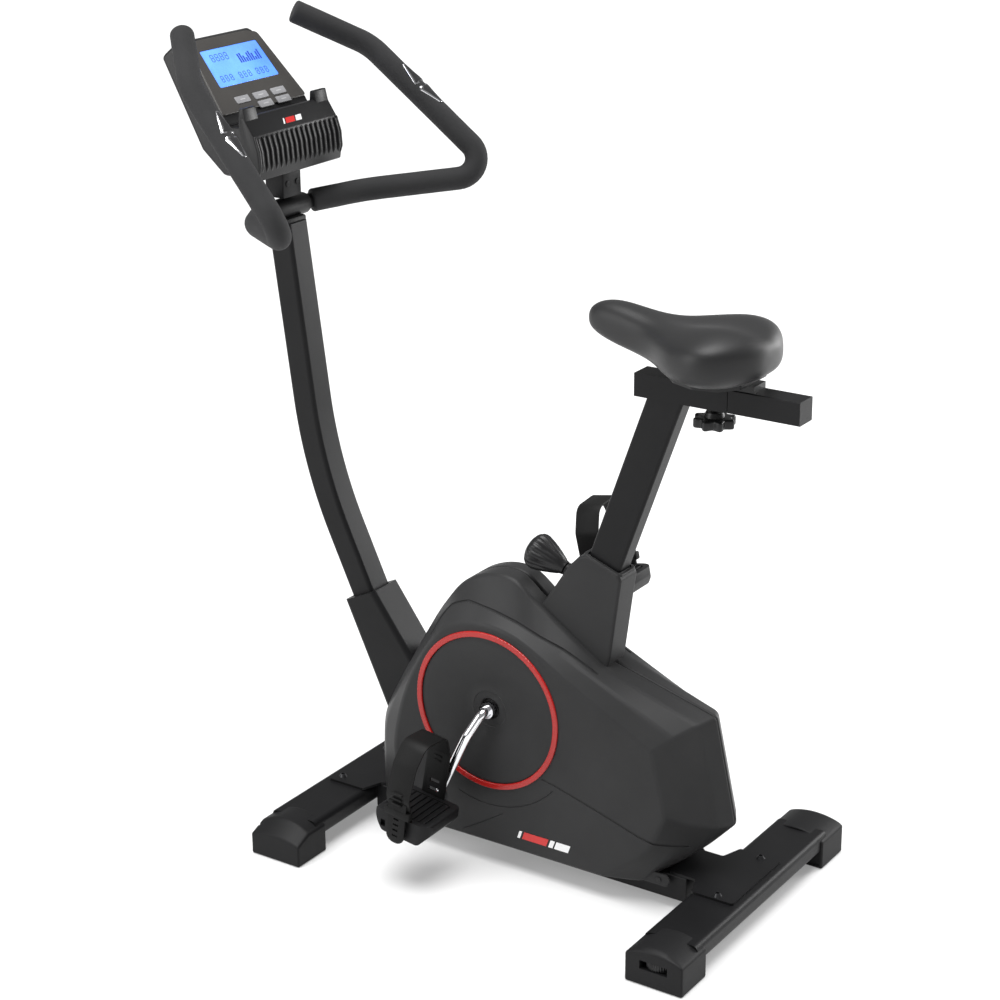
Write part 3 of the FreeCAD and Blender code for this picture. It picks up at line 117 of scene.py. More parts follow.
FINISH = {
    "frame_paint": surface("frame_paint", (0.007, 0.007, 0.0075), 0.42, grain=1400, bump=0.22, coat=0.0,
                           specular=0.16),
    "casing_plastic": surface("casing_plastic", (0.027, 0.027, 0.0275), 0.45, grain=1500, bump=0.16,
                              spread=0.1, specular=0.14),
    "black_plastic": surface("black_plastic", (0.009, 0.009, 0.0095), 0.36, grain=1300, bump=0.12,
                             specular=0.3),
    "cap_plastic": surface("cap_plastic", (0.009, 0.009, 0.0095), 0.5, grain=1200, bump=0.25,
                           specular=0.15),
    "red_plastic": surface("red_plastic", (0.36, 0.012, 0.01), 0.25, spread=0.1, grain=500, bump=0.03,
                           coat=0.3, specular=0.3),
    "pedal_plastic": surface("pedal_plastic", (0.006, 0.006, 0.0065), 0.52, grain=1000, bump=0.4,
                             specular=0.2),
    "strap_rubber": surface("strap_rubber", (0.006, 0.006, 0.006), 0.55, grain=900, bump=0.3,
                            specular=0.15),
    "foam": surface("foam", (0.024, 0.024, 0.025), 0.82, grain=1700, bump=0.9, spread=0.15,
                    rough_spread=0.1, specular=0.3),
    "saddle_cover": surface("saddle_cover", (0.012, 0.012, 0.0125), 0.46, grain=1100, bump=0.35,
                            spread=0.12, sheen=0.04, specular=0.35),
    "chrome": surface("chrome", (0.82, 0.82, 0.84), 0.1, spread=0.04, grain=200, bump=0.01, metallic=1.0,
                      rough_spread=0.03),
    "steel": surface("steel", (0.46, 0.46, 0.48), 0.3, grain=500, bump=0.08, metallic=1.0,
                     stretch=(1, 6, 1)),
    "dark_steel": surface("dark_steel", (0.03, 0.03, 0.032), 0.35, grain=700, bump=0.1, metallic=0.7),
    "cast_iron": surface("cast_iron", (0.14, 0.14, 0.145), 0.6, grain=400, bump=0.5, metallic=0.7),
    "belt_rubber": surface("belt_rubber", (0.02, 0.02, 0.02), 0.6, grain=800, bump=0.3),
    "face_plastic": surface("face_plastic", (0.052, 0.049, 0.046), 0.34, grain=1200, bump=0.06,
                            spread=0.12),
    "button_plastic": surface("button_plastic", (0.27, 0.27, 0.28), 0.38, grain=900, bump=0.06),
    "screen": lit_screen("screen"),
    "sensor_metal": surface("sensor_metal", (0.62, 0.62, 0.64), 0.16, spread=0.06, grain=300, bump=0.02,
                            metallic=1.0),
    "wheel_rubber": surface("wheel_rubber", (0.02, 0.02, 0.02), 0.6, grain=800, bump=0.3),
}
EXTRA = {
    "sensor_inset": surface("sensor_inset", (0.02, 0.02, 0.021), 0.3, grain=700, bump=0.05),
    "mark_red": surface("mark_red", (0.55, 0.02, 0.018), 0.3, spread=0.08, grain=500, bump=0.02),
    "mark_white": surface("mark_white", (0.78, 0.78, 0.78), 0.35, spread=0.05, grain=500, bump=0.02),
    "lcd_ink": surface("lcd_ink", (0.03, 0.07, 0.42), 0.3, spread=0.2, grain=200, bump=0.0),
    "legend_grey": surface("legend_grey", (0.45, 0.45, 0.46), 0.4, spread=0.1, grain=300, bump=0.0),
}


# ------------------------------------------------------------------ mesh making
def to_frame(point):
    return Vector(((point[0] + DATUM_X) * MM, point[1] * MM, point[2] * MM))


def make_mesh(name, points, faces, place=None):
    """Closed or open mesh from datum points in mm. place turns local points into datum points."""
    mesh = bpy.data.meshes.new(name)
    moved = [place @ Vector(p) for p in points] if place else points
    mesh.from_pydata([to_frame(p) for p in moved], [], faces)
    made = bpy.data.objects.new(name, mesh)
    bpy.context.scene.collection.objects.link(made)
    tidy = bmesh.new()
    tidy.from_mesh(mesh)
    bmesh.ops.remove_doubles(tidy, verts=tidy.verts, dist=1e-6)
    bmesh.ops.recalc_face_normals(tidy, faces=tidy.faces)
    tidy.to_mesh(mesh)
    tidy.free()
    return made


def apply_modifiers(obj):
    graph = bpy.context.evaluated_depsgraph_get()
    graph.update()
    mesh = bpy.data.meshes.new_from_object(obj.evaluated_get(graph), depsgraph=graph)
    obj.modifiers.clear()
    obj.data = mesh
    return obj


def bevel(obj, width, segments=3, angle=25):
    mod = obj.modifiers.new("bevel", "BEVEL")
    mod.width = width * MM
    mod.segments = segments
    mod.limit_method = "ANGLE"
    mod.angle_limit = math.radians(angle)
    mod.harden_normals = False
    return apply_modifiers(obj)


def subdivide(obj, levels=2):
    mod = obj.modifiers.new("subdivide", "SUBSURF")
    mod.levels = mod.render_levels = levels
    return apply_modifiers(obj)


def cut(obj, cutters, operation="DIFFERENCE", solver="MANIFOLD"):
    for cutter in cutters:
        mod = obj.modifiers.new("cut", "BOOLEAN")
        mod.operation = operation
        mod.solver = solver
        mod.object = cutter
        apply_modifiers(obj)
        bpy.data.objects.remove(cutter)
    return obj


def finish_piece(obj, body, slot, *replaced, angle=SMOOTH_ANGLE, material=None, facets=False):
    """Shading, material picked by slot, and body of a finished piece.

    facets keeps large faces flat between their rounds.
    """
    obj.data.materials.clear()
    obj.data.materials.append(material or FINISH[slot])
    for polygon in obj.data.polygons:
        polygon.material_index = 0
    obj.data.shade_smooth()
    obj.data.set_sharp_from_angle(angle=math.radians(angle))
    if facets:
        mod = obj.modifiers.new("facets", "WEIGHTED_NORMAL")
        mod.keep_sharp = True
        apply_modifiers(obj)
    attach(obj, body)
    if replaced:
        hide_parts(*replaced)
    return obj


def join(name, objects):
    """One mesh out of several."""
    whole = bmesh.new()
    for part in objects:
        whole.from_mesh(part.data)
        bpy.data.objects.remove(part)
    mesh = bpy.data.meshes.new(name)
    whole.to_mesh(mesh)
    whole.free()
    made = bpy.data.objects.new(name, mesh)
    bpy.context.scene.collection.objects.link(made)
    return made


def skin(name, rings, ends=(True, True), place=None, closed=True):
    """Skin over rings of equal length, with flat ends."""
    count = len(rings[0])
    points = [p for ring in rings for p in ring]
    faces = []
    for row in range(len(rings) - 1):
        for col in range(count if closed else count - 1):
            nxt = (col + 1) % count
            faces.append([row * count + col, row * count + nxt, (row + 1) * count + nxt,
                          (row + 1) * count + col])
    if ends[0]:
        faces.append(list(range(count))[::-1])
    if ends[1]:
        faces.append([(len(rings) - 1) * count + k for k in range(count)])
    return make_mesh(name, points, faces, place)


def prism(name, outline, y_low, y_high, place=None):
    """Outline of (x, z) points carried from one Y to another."""
    return skin(name, [[(x, y, z) for x, z in outline] for y in (y_low, y_high)], place=place)


def round_outline(points, radii, steps=6):
    """Closed outline with arcs at its corners."""
    made = []
    count = len(points)
    for k, (a, b) in enumerate(points):
        corner = Vector((a, b))
        radius = radii if isinstance(radii, (int, float)) else radii[k]
        back = (Vector(points[k - 1]) - corner)
        ahead = (Vector(points[(k + 1) % count]) - corner)
        if radius == 0:
            made.append((a, b))
            continue
        back.normalize()
        ahead.normalize()
        half = back.angle(ahead) / 2
        reach = radius / math.tan(half)
        centre = corner + (back + ahead).normalized() * (radius / math.sin(half))
        start, end = corner + back * reach - centre, corner + ahead * reach - centre
        sweep = start.angle_signed(end)
        for step in range(steps + 1):
            turn = -sweep * step / steps
            arm = Vector((start.x * math.cos(turn) - start.y * math.sin(turn),
                          start.x * math.sin(turn) + start.y * math.cos(turn)))
            made.append(tuple(centre + arm))
    return made


def box(name, low, high, edge=0.0, place=None):
    (x0, y0, z0), (x1, y1, z1) = low, high
    made = prism(name, [(x0, z0), (x1, z0), (x1, z1), (x0, z1)], y0, y1, place)
    return bevel(made, edge, 2) if edge else made


def disc_points(radius, middle, axis, count=48, turn=0.0):
    """Ring of points about an axis."""
    axis = Vector(axis).normalized()
    side = axis.orthogonal().normalized()
    other = axis.cross(side)
    middle = Vector(middle)
    made = []
    for k in range(count):
        angle = turn + 2 * math.pi * k / count
        made.append(middle + side * radius * math.cos(angle) + other * radius * math.sin(angle))
    return made


def rod(name, radius, start, end, count=48, edge=0.0):
    start, end = Vector(start), Vector(end)
    axis = end - start
    rings = [disc_points(radius, start, axis, count), disc_points(radius, end, axis, count)]
    made = skin(name, rings)
    return bevel(made, edge, 2) if edge else made


def revolve(name, profile, origin, axis, count=72, flute=None):
    """Profile of (radius, height) points about an axis. flute(angle, height) scales the radius."""
    axis = Vector(axis).normalized()
    side = Vector((0, 1, 0)) if abs(axis.y) < 0.9 else Vector((1, 0, 0))
    side = (side - axis * side.dot(axis)).normalized()
    other = axis.cross(side)
    rings = []
    for radius, height in profile:
        ring = []
        for k in range(count):
            angle = 2 * math.pi * k / count
            wide = radius * (flute(angle, height) if flute else 1)
            across = side * math.cos(angle) + other * math.sin(angle)
            ring.append(Vector(origin) + axis * height + across * wide)
        rings.append(ring)
    return skin(name, rings, (profile[0][0] > 0, profile[-1][0] > 0))


def ring_band(name, profile, origin, axis, count=96):
    """Closed ring: its profile of (radius, height) points closes on itself."""
    return revolve(name, profile + profile[:1], origin, axis, count)


def bent_path(points, radii, spacing=6):
    """Points along straight runs and the arcs between them."""
    path = [Vector(points[0])]
    for before, corner, after, radius in zip(points, points[1:], points[2:], radii):
        before, corner, after = Vector(before), Vector(corner), Vector(after)
        back, ahead = (before - corner).normalized(), (after - corner).normalized()
        half = back.angle(ahead) / 2
        reach = radius / math.tan(half)
        centre = corner + (back + ahead).normalized() * radius / math.sin(half)
        start, end = corner + back * reach, corner + ahead * reach
        arm, final = start - centre, end - centre
        sweep = arm.angle(final)
        axis = arm.cross(final).normalized()
        steps = max(6, int(radius * sweep / spacing))
        for step in range(steps + 1):
            path.append(centre + Quaternion(axis, sweep * step / steps) @ arm)
    path.append(Vector(points[-1]))
    return path


def path_frames(path):
    """Tangent and two steady cross directions at each point of a path."""
    frames = []
    tangent = (path[1] - path[0]).normalized()
    side = tangent.orthogonal().normalized()
    for k, point in enumerate(path):
        ahead = path[min(k + 1, len(path) - 1)] - path[max(k - 1, 0)]
        turned = tangent.rotation_difference(ahead.normalized())
        tangent = ahead.normalized()
        side = (turned @ side).normalized()
        frames.append((point, tangent, side, tangent.cross(side)))
    return frames


def tube(name, path, radius, count=32, caps=4):
    """Round tube along a path, with rounded ends."""
    frames = path_frames(path)
    rings = []

    def add(point, side, other, wide):
        rings.append([point + side * wide * math.cos(2 * math.pi * k / count)
                      + other * wide * math.sin(2 * math.pi * k / count) for k in range(count)])

    first, last = frames[0], frames[-1]
    for step in range(caps):
        lift = math.pi / 2 * step / caps
        add(first[0] - first[1] * caps * (math.cos(lift)), first[2], first[3],
            radius - caps * (1 - math.sin(lift)))
    for point, _, side, other in frames:
        add(point, side, other, radius)
    for step in range(caps, 0, -1):
        lift = math.pi / 2 * (step - 1) / caps
        add(last[0] + last[1] * caps * math.cos(lift), last[2], last[3], radius - caps * (1 - math.sin(lift)))
    return skin(name, rings)


def both_sides(build, *names):
    for side in (1, -1):
        build(side, "left" if side == 1 else "right", *names)


def flip_y(obj):
    """Mirror image of a mesh across the middle plane."""
    obj.data.transform(Matrix.Scale(-1, 4, (0, 1, 0)))
    obj.data.flip_normals()
    return obj


def smooth_outline(points, sharp, steps=6):
    """Closed outline through the points, curved except at the sharp ones."""
    made = []
    count = len(points)
    knots = [Vector(p) for p in points]
    for k in range(count):
        a, b = knots[k], knots[(k + 1) % count]
        before, after = knots[k - 1], knots[(k + 2) % count]
        length = (b - a).length
        go = (b - a) if k in sharp else (b - before).normalized() * length
        arrive = (b - a) if (k + 1) % count in sharp else (after - a).normalized() * length
        for step in range(steps):
            t = step / steps
            made.append(tuple(a * (2 * t ** 3 - 3 * t ** 2 + 1) + go * (t ** 3 - 2 * t ** 2 + t)
                              + b * (3 * t ** 2 - 2 * t ** 3) + arrive * (t ** 3 - t ** 2)))
    return made


def inset(points, distance):
    """Closed outline moved inwards."""
    area = sum(a[0] * b[1] - a[1] * b[0] for a, b in zip(points, points[1:] + points[:1]))
    sign = 1 if area > 0 else -1
    made = []
    for k, point in enumerate(points):
        before = (Vector(point) - Vector(points[k - 1])).normalized()
        after = (Vector(points[(k + 1) % len(points)]) - Vector(point)).normalized()
        normal = Vector((-before.y - after.y, before.x + after.x)).normalized() * sign
        made.append(tuple(Vector(point) + normal * distance))
    return made


# ------------------------------------------------------------------ carried-over CAD nodes
for part in frame["record"]["subparts"]:
    carried = frame["nodes"][part["node"]]
    carried.data.materials.clear()
    carried.data.materials.append(FINISH[part["material_slot"]])


# ------------------------------------------------------------------ casing
CRANK = Vector((-15, 0, 273))
PANEL_Y = 82
CASING_WALL = 3
CASING_MIDDLE = [(229, 34), (227, 151), (220, 199), (185, 270), (162, 310), (130, 366), (98, 417),
                 (60, 462), (12, 487), (-35, 487), (-75, 459), (-199, 376), (-386, 325), (-424, 151),
                 (-373, 100), (-300, 42)]
CASING_CREST = [(229, 34), (227, 151), (220, 199), (185, 270), (162, 310), (130, 366), (98, 417),
                (60, 462), (12, 485), (-35, 485), (-75, 457), (-199, 374), (-370, 318), (-406, 155),
                (-370, 102), (-300, 42)]
CASING_SHOULDER = [(200, 34), (205, 151), (198, 201), (168, 268), (146, 308), (114, 362), (72, 424),
                   (33, 444), (-17, 437), (-60, 427), (-95, 414), (-190, 372), (-342, 300), (-372, 163),
                   (-342, 102), (-290, 38)]
CASING_PANEL = [(150, 38), (168, 160), (161, 211), (145, 269), (121, 325), (98, 362), (66, 398),
                (30, 413), (-15, 419), (-60, 413), (-95, 398), (-153, 364), (-316, 279), (-342, 175),
                (-305, 100), (-230, 40)]
CASING_CORNERS = {0, 11, 12, 13, 15}
LEVELS = [0.2, 32, 60, PANEL_Y]
HUMP_GROOVE = [(98, 372, 66), (84, 408, 64), (66, 431, 60), (33, 444, 60), (-17, 437, 60), (-60, 427, 60),
               (-95, 413, 58), (-140, 396, 52), (-190, 376, 50), (-204, 372, 50)]
LOWER_GROOVE = [(-120, 180, 82), (-144, 175, 82), (-218, 154, 82), (-299, 129, 80), (-345, 121, 66),
                (-371, 118, 45)]
FOOT_GROOVE = [(32, 50, 82), (-4, 72, 82), (-50, 102, 82)]
BOSS_RADIUS = 165


def casing_solid(name, outlines, levels):
    rings = [[(x, y, z) for x, z in outline] for y, outline in zip(levels, outlines)]
    return skin(name, rings)


def groove_cutter(name, points, radius, surface_tree):
    """Thin tube that lies on the surface along the points."""
    knots = [to_frame(p) for p in points]
    settled = []
    for a, b in zip(knots, knots[1:]):
        for step in range(6):
            near = surface_tree.find_nearest(a.lerp(b, step / 6))[0]
            settled.append(Vector(near) / MM - Vector((DATUM_X, 0, 0)))
    return tube(name, settled, radius, 8, 2)


def make_casing_half(side, name):
    outlines = [smooth_outline(o, CASING_CORNERS) for o in (CASING_MIDDLE, CASING_CREST, CASING_SHOULDER,
                                                           CASING_PANEL)]
    shell = casing_solid(f"casing_{name}_shell", outlines, LEVELS)
    bevel(shell, 5.5, 4, 9)
    whole = bmesh.new()
    whole.from_mesh(shell.data)
    tree = BVHTree.FromBMesh(whole)
    whole.free()
    boss = [(CRANK.x + BOSS_RADIUS * math.cos(math.radians(a)),
             CRANK.z + BOSS_RADIUS * math.sin(math.radians(a)), 82) for a in range(-70, -141, -7)]
    inner = [inset(outline, CASING_WALL) for outline in outlines]
    inner_levels = [-8, 31, 58, PANEL_Y - CASING_WALL]
    cutters = [casing_solid("inner_room", inner, inner_levels),
               rod("disc_room", 125.4, CRANK + Vector((0, 70, 0)), CRANK + Vector((0, 95, 0)), 96)]
    for k, (line, radius) in enumerate(((HUMP_GROOVE, 2.6), (LOWER_GROOVE, 2.0), (FOOT_GROOVE, 0.9),
                                        (boss, 1.0))):
        line = [(x, y, z) for x, z, y in line]
        cutters.append(groove_cutter(f"groove_{k}", line, radius, tree))
    cut(shell, cutters)
    if side < 0:
        flip_y(shell)
    finish_piece(shell, "frame", "casing_plastic", "casing_" + name, angle=28, facets=True)


both_sides(make_casing_half)

DISC_PROFILE = [(17, 66), (17, 71), (18.5, 72.6), (24, 72.8), (30, 72.9), (31, 73.6), (33, 73.6),
                (34.5, 73.3), (48, 75), (66, 77.4), (84, 79.6), (100, 81.2), (112, 81.9), (122, 82),
                (124.4, 81.6), (124.7, 78), (112, 78), (90, 76.5), (60, 72.5), (34, 68.5), (24, 66)]


def make_disc(side, name):
    plate = ring_band(f"side_disc_{name}", [(r, side * y) for r, y in DISC_PROFILE],
                      (CRANK.x, 0, CRANK.z), (0, 1, 0), 128)
    replaced = ["side_discs"] if side > 0 else []
    finish_piece(plate, "frame", "casing_plastic", *replaced)


both_sides(make_disc)


# ------------------------------------------------------------------ seat tube cover
SEAT_LEAN = math.radians(19.9)
SEAT_FORWARD = Vector((math.cos(SEAT_LEAN), 0, math.sin(SEAT_LEAN)))
POST_DEPTH, POST_WIDTH = 58, 34


def seat_line(z):
    return Vector((-196 - (z - 554) * math.tan(SEAT_LEAN), 0, z))


def seat_block(name, depth, width, low_z, high_z, radius=5.0):
    """Rounded block along the leaning seat line."""
    outline = round_outline([(-depth / 2, -width / 2), (depth / 2, -width / 2), (depth / 2, width / 2),
                             (-depth / 2, width / 2)], radius)
    rings = []
    for z in (low_z, high_z):
        middle = seat_line(z)
        rings.append([middle + SEAT_FORWARD * a + Vector((0, b, 0)) for a, b in outline])
    return skin(name, rings)


COVER = [(-226, 521), (-221, 531), (-164, 551), (-150, 546), (-131, 526), (-108, 490), (-78, 446),
         (-112, 398), (-170, 362), (-201, 362), (-208, 392)]
cover = prism("seat_tube_boot", round_outline(COVER, [6, 5, 8, 10, 14, 20, 0, 0, 0, 0, 0], 4), -26, 26)
bevel(cover, 5.5, 4, 30)
cut(cover, [seat_block("room", POST_DEPTH + 5, POST_WIDTH + 5, 320, 600, 6)])
rim = seat_block("rim", POST_DEPTH + 14, POST_WIDTH + 15, 532, 541.5, 8)
bevel(rim, 2, 3)
cut(rim, [seat_block("room", POST_DEPTH + 5, POST_WIDTH + 5, 500, 600, 6)])
boot = join("seat_tube_boot", [cover, rim])
finish_piece(boot, "frame", "casing_plastic", "seat_tube_cover", facets=True)


# ------------------------------------------------------------------ mast
MAST_LEAN, MAST_TOP_LEAN = math.radians(24.7), math.radians(7.4)
KNEE = Vector((365, 0, 594))
MAST_FOOT_Z, MAST_TOP_Z = 120, 993.8
low_run = Vector((math.sin(MAST_LEAN), 0, math.cos(MAST_LEAN)))
top_run = Vector((math.sin(MAST_TOP_LEAN), 0, math.cos(MAST_TOP_LEAN)))
mast_path = bent_path([KNEE - low_run * (KNEE.z - MAST_FOOT_Z) / low_run.z, KNEE,
                       KNEE + top_run * (MAST_TOP_Z - KNEE.z) / top_run.z], [740], 12)
section = round_outline([(-22.5, -25), (22.5, -25), (22.5, 25), (-22.5, 25)], 7, 5)
rings = []
for k, point in enumerate(mast_path):
    ahead = (mast_path[min(k + 1, len(mast_path) - 1)] - mast_path[max(k - 1, 0)]).normalized()
    across = Vector((ahead.z, 0, -ahead.x))
    rings.append([point + across * a + Vector((0, b, 0)) for a, b in section])
finish_piece(skin("mast_tube", rings), "frame", "frame_paint", "mast", facets=True)


# ------------------------------------------------------------------ handlebar
BAR = [(422, 0, 1016), (422, 58, 1016), (366, 140, 1026), (192, 277, 1047), (410, 224, 1245),
       (496, 139, 1304)]
BAR_RADII = [45, 150, 33, 80]
BAR_RADIUS = 12.5
FOAM_RADIUS = 19.0
FOAM_START = 68


def path_from(path, start):
    """The path after its first stretch."""
    gone = 0.0
    for k, (a, b) in enumerate(zip(path, path[1:])):
        step = (b - a).length
        if gone + step > start:
            return [a.lerp(b, (start - gone) / step)] + path[k + 1:]
        gone += step
    return path


bar_path = bent_path(BAR, BAR_RADII, 5)
foam_path = path_from(bar_path, FOAM_START)
foam_fine = []
for a, b in zip(foam_path, foam_path[1:]):
    pieces = max(1, int((b - a).length / 9))
    foam_fine += [a.lerp(b, k / pieces) for k in range(pieces)]
foam_fine.append(foam_path[-1])

both_halves = [Vector((p.x, -p.y, p.z)) for p in reversed(bar_path[1:])] + bar_path[1:]
finish_piece(tube("bar_tube", both_halves, BAR_RADIUS, 32, 2), "handlebar", "frame_paint", "handlebar_tube")

UPPER_RUN = (Vector(BAR[4]) - Vector(BAR[3])).normalized()
FACING = Vector((-UPPER_RUN.z, 0, UPPER_RUN.x)).normalized()


def sensor_outline(length, width, pointed):
    """Rounded triangle with its flat end at pointed * length / 2, as (along, across) points."""
    flat_end = pointed * length / 2
    return round_outline([(-flat_end, 0), (flat_end, width / 2), (flat_end, -width / 2)], [4, 4.5, 4.5], 6)


def wrapped_patch(name, outline, origin, run, facing, low, high, turn=0.0):
    """Closed plate wrapped on the round grip between two radii."""
    side = run.cross(facing)

    def lift(along, across, radius):
        angle = turn + across / radius
        return origin + run * along + (facing * math.cos(angle) + side * math.sin(angle)) * radius

    shrink = (1.0, 0.97, 0.85, 0.6, 0.3)
    rings = [[lift(a, b, low) for a, b in outline]]
    for k, scale in enumerate(shrink):
        rings.append([lift(a * scale, b * scale, high - (0.35 if k == 0 else 0)) for a, b in outline])
    return skin(name, rings)


def make_grip(side, name):
    grip = tube(f"foam_grip_{name}", foam_fine, FOAM_RADIUS - 0.2, 40, 4)
    for vertex in grip.data.vertices:
        local = vertex.co * 55
        vertex.co += vertex.normal * 0.00025 * noise(local)
    pieces = []
    insets = []
    for start, end, pointed in ((138, 190, 1), (196, 248, -1)):
        origin = Vector(BAR[3]) + UPPER_RUN * (start + end) / 2
        outline = sensor_outline(end - start, 30, pointed)
        inner = inset(outline, 2.4)
        pieces.append(wrapped_patch("plate", outline, origin, UPPER_RUN, FACING, FOAM_RADIUS - 1,
                                    FOAM_RADIUS + 1.1))
        insets.append(wrapped_patch("inset", inner, origin, UPPER_RUN, FACING, FOAM_RADIUS,
                                    FOAM_RADIUS + 1.5))
    plate = join(f"pulse_plates_{name}", pieces)
    dark = join(f"pulse_insets_{name}", insets)
    if side < 0:
        for item in (grip, plate, dark):
            flip_y(item)
    finish_piece(grip, "handlebar", "foam", *(["foam_grips"] if side > 0 else []), angle=60)
    finish_piece(plate, "handlebar", "sensor_metal", *(["pulse_sensors"] if side > 0 else []))
    finish_piece(dark, "handlebar", "sensor_metal", material=EXTRA["sensor_inset"])


both_sides(make_grip)


CLAMP_AT = Vector((422, 0, 1016))
barrel = rod("barrel", 17.2, CLAMP_AT - Vector((0, 50, 0)), CLAMP_AT + Vector((0, 50, 0)), 56, 2.5)
cut(barrel, [rod("room", 13.2, CLAMP_AT - Vector((0, 60, 0)), CLAMP_AT + Vector((0, 60, 0)), 40)])
seat = box("seat", (400, -29, 980), (444, 29, 1004), 4)
bolts = [rod("bolt", 4.5, (398, y, 992), (401.5, y, 992), 24, 0.8) for y in (-17, 17)]
finish_piece(join("bar_clamp", [barrel, seat] + bolts), "frame", "frame_paint", "handlebar_clamp")


# ------------------------------------------------------------------ saddle
# x, half width, top at the middle, bottom, and how flat the top is
SADDLE = [(-156, 8, 934, 920, 0.9), (-160, 15, 942, 912, 0.9), (-170, 22, 950, 905, 0.85),
          (-190, 28, 955, 897, 0.85), (-215, 31, 954, 890, 0.8), (-245, 34, 949.5, 883, 0.8),
          (-275, 42, 944, 876, 0.75), (-303, 64, 941.5, 870, 0.7), (-332, 90, 943, 866, 0.65),
          (-360, 104, 947, 864, 0.62), (-385, 109, 950, 864, 0.58), (-410, 103, 949, 866, 0.56),
          (-432, 82, 944, 871, 0.6), (-446, 60, 937, 878, 0.66), (-455, 40, 929, 885, 0.76),
          (-459, 20, 921, 894, 0.86)]
SADDLE_ROUND = 28


def saddle_ring(x, half, high, low, flatness):
    ring = []
    middle = low + (high - low) * 0.46
    rear = min(1.0, max(0.0, (-x - 285) / 60)) * min(1.0, max(0.0, (x + 462) / 40))
    for k in range(SADDLE_ROUND):
        angle = 2 * math.pi * k / SADDLE_ROUND
        c, s = math.cos(angle), math.sin(angle)
        y = half * math.copysign(abs(c) ** (0.78 if s > 0 else 0.62), c)
        up = high - middle
        down = middle - low
        z = middle + (up * abs(s) ** flatness if s > 0 else -down * abs(s) ** 0.8)
        if s > 0:
            across = abs(y) / 106
            ridges = 3.2 * math.exp(-((abs(y) - 48) / 26) ** 2) - 5.0 * math.exp(-(y / 13) ** 2)
            z += rear * s * ridges - 2 * across * s
        ring.append((x, y, z))
    return ring


saddle = skin("saddle_cushion", [saddle_ring(*row) for row in SADDLE])
subdivide(saddle, 2)
for vertex in saddle.data.vertices:
    vertex.co += vertex.normal * 0.0006 * noise(vertex.co * 18)
finish_piece(saddle, "seat_slider", "saddle_cover", "saddle", angle=80)


# ------------------------------------------------------------------ knobs
KNOB_X, KNOB_Z = -367.5, 819.7
star = []
for k in range(96):
    angle = 2 * math.pi * k / 96
    lobe = 28.5 + 3.9 * math.cos(8 * angle)
    star.append((KNOB_X + lobe * math.cos(angle), lobe * math.sin(angle)))
rings = [[(x, y, z) for x, y in star] for z in (KNOB_Z - 30, KNOB_Z - 15)]
head = bevel(skin("head", rings), 3, 4, 50)
neck = revolve("neck", [(15.5, KNOB_Z - 17), (14, KNOB_Z - 9), (13, KNOB_Z - 7.2), (5, KNOB_Z - 7),
                        (5, KNOB_Z + 2)], (KNOB_X, 0, 0), (0, 0, 1), 40)
dent = revolve("dent", [(19, KNOB_Z - 31), (17, KNOB_Z - 27), (0.01, KNOB_Z - 26)], (KNOB_X, 0, 0),
               (0, 0, 1), 40)
cut(head, [dent])
finish_piece(join("saddle_clamp_knob", [head, neck]), "slider_knob", "black_plastic", "slider_knob")

PIN_Z = 488
pin_origin = seat_line(PIN_Z) + SEAT_FORWARD * 109.6
pin_profile = [(4.9, -80.3), (5, -46), (11, -45), (12, -40), (14.5, -36), (19, -26), (24, -14),
               (27.5, -4), (29.6, 4), (29.8, 9), (28.4, 14), (25, 18.5), (19, 22), (11, 24.2), (4, 24.9),
               (0.5, 25)]


def knob_flutes(angle, height):
    depth = max(0.0, 1 - abs(height + 4) / 22) ** 0.5 if abs(height + 4) < 22 else 0.0
    return 1 - 0.11 * depth * (0.5 + 0.5 * math.cos(14 * angle)) ** 2


knob = revolve("height_pin_knob", pin_profile, pin_origin, SEAT_FORWARD, 112, knob_flutes)
finish_piece(knob, "pin_knob", "black_plastic", "pin_knob", angle=45)


# ------------------------------------------------------------------ end caps, levellers
CAP_WIDTH = 98
CAP_INNER, CAP_OUTER = 191, 265
LEVELLER_Y = 241
FRONT_AXIS_X, REAR_AXIS_X = 281.5, -431
STABILIZER_END = 212


def cap_outline(crown=63.0, side=48.0, low=0.0):
    half = CAP_WIDTH / 2
    made = [(half, low), (half, side)]
    radius = (half ** 2 + (crown - side) ** 2) / (2 * (crown - side))
    reach = math.asin(half / radius)
    for step in range(1, 16):
        angle = reach - 2 * reach * step / 16
        made.append((radius * math.sin(angle), crown - radius + radius * math.cos(angle)))
    made += [(-half, side), (-half, low)]
    return made


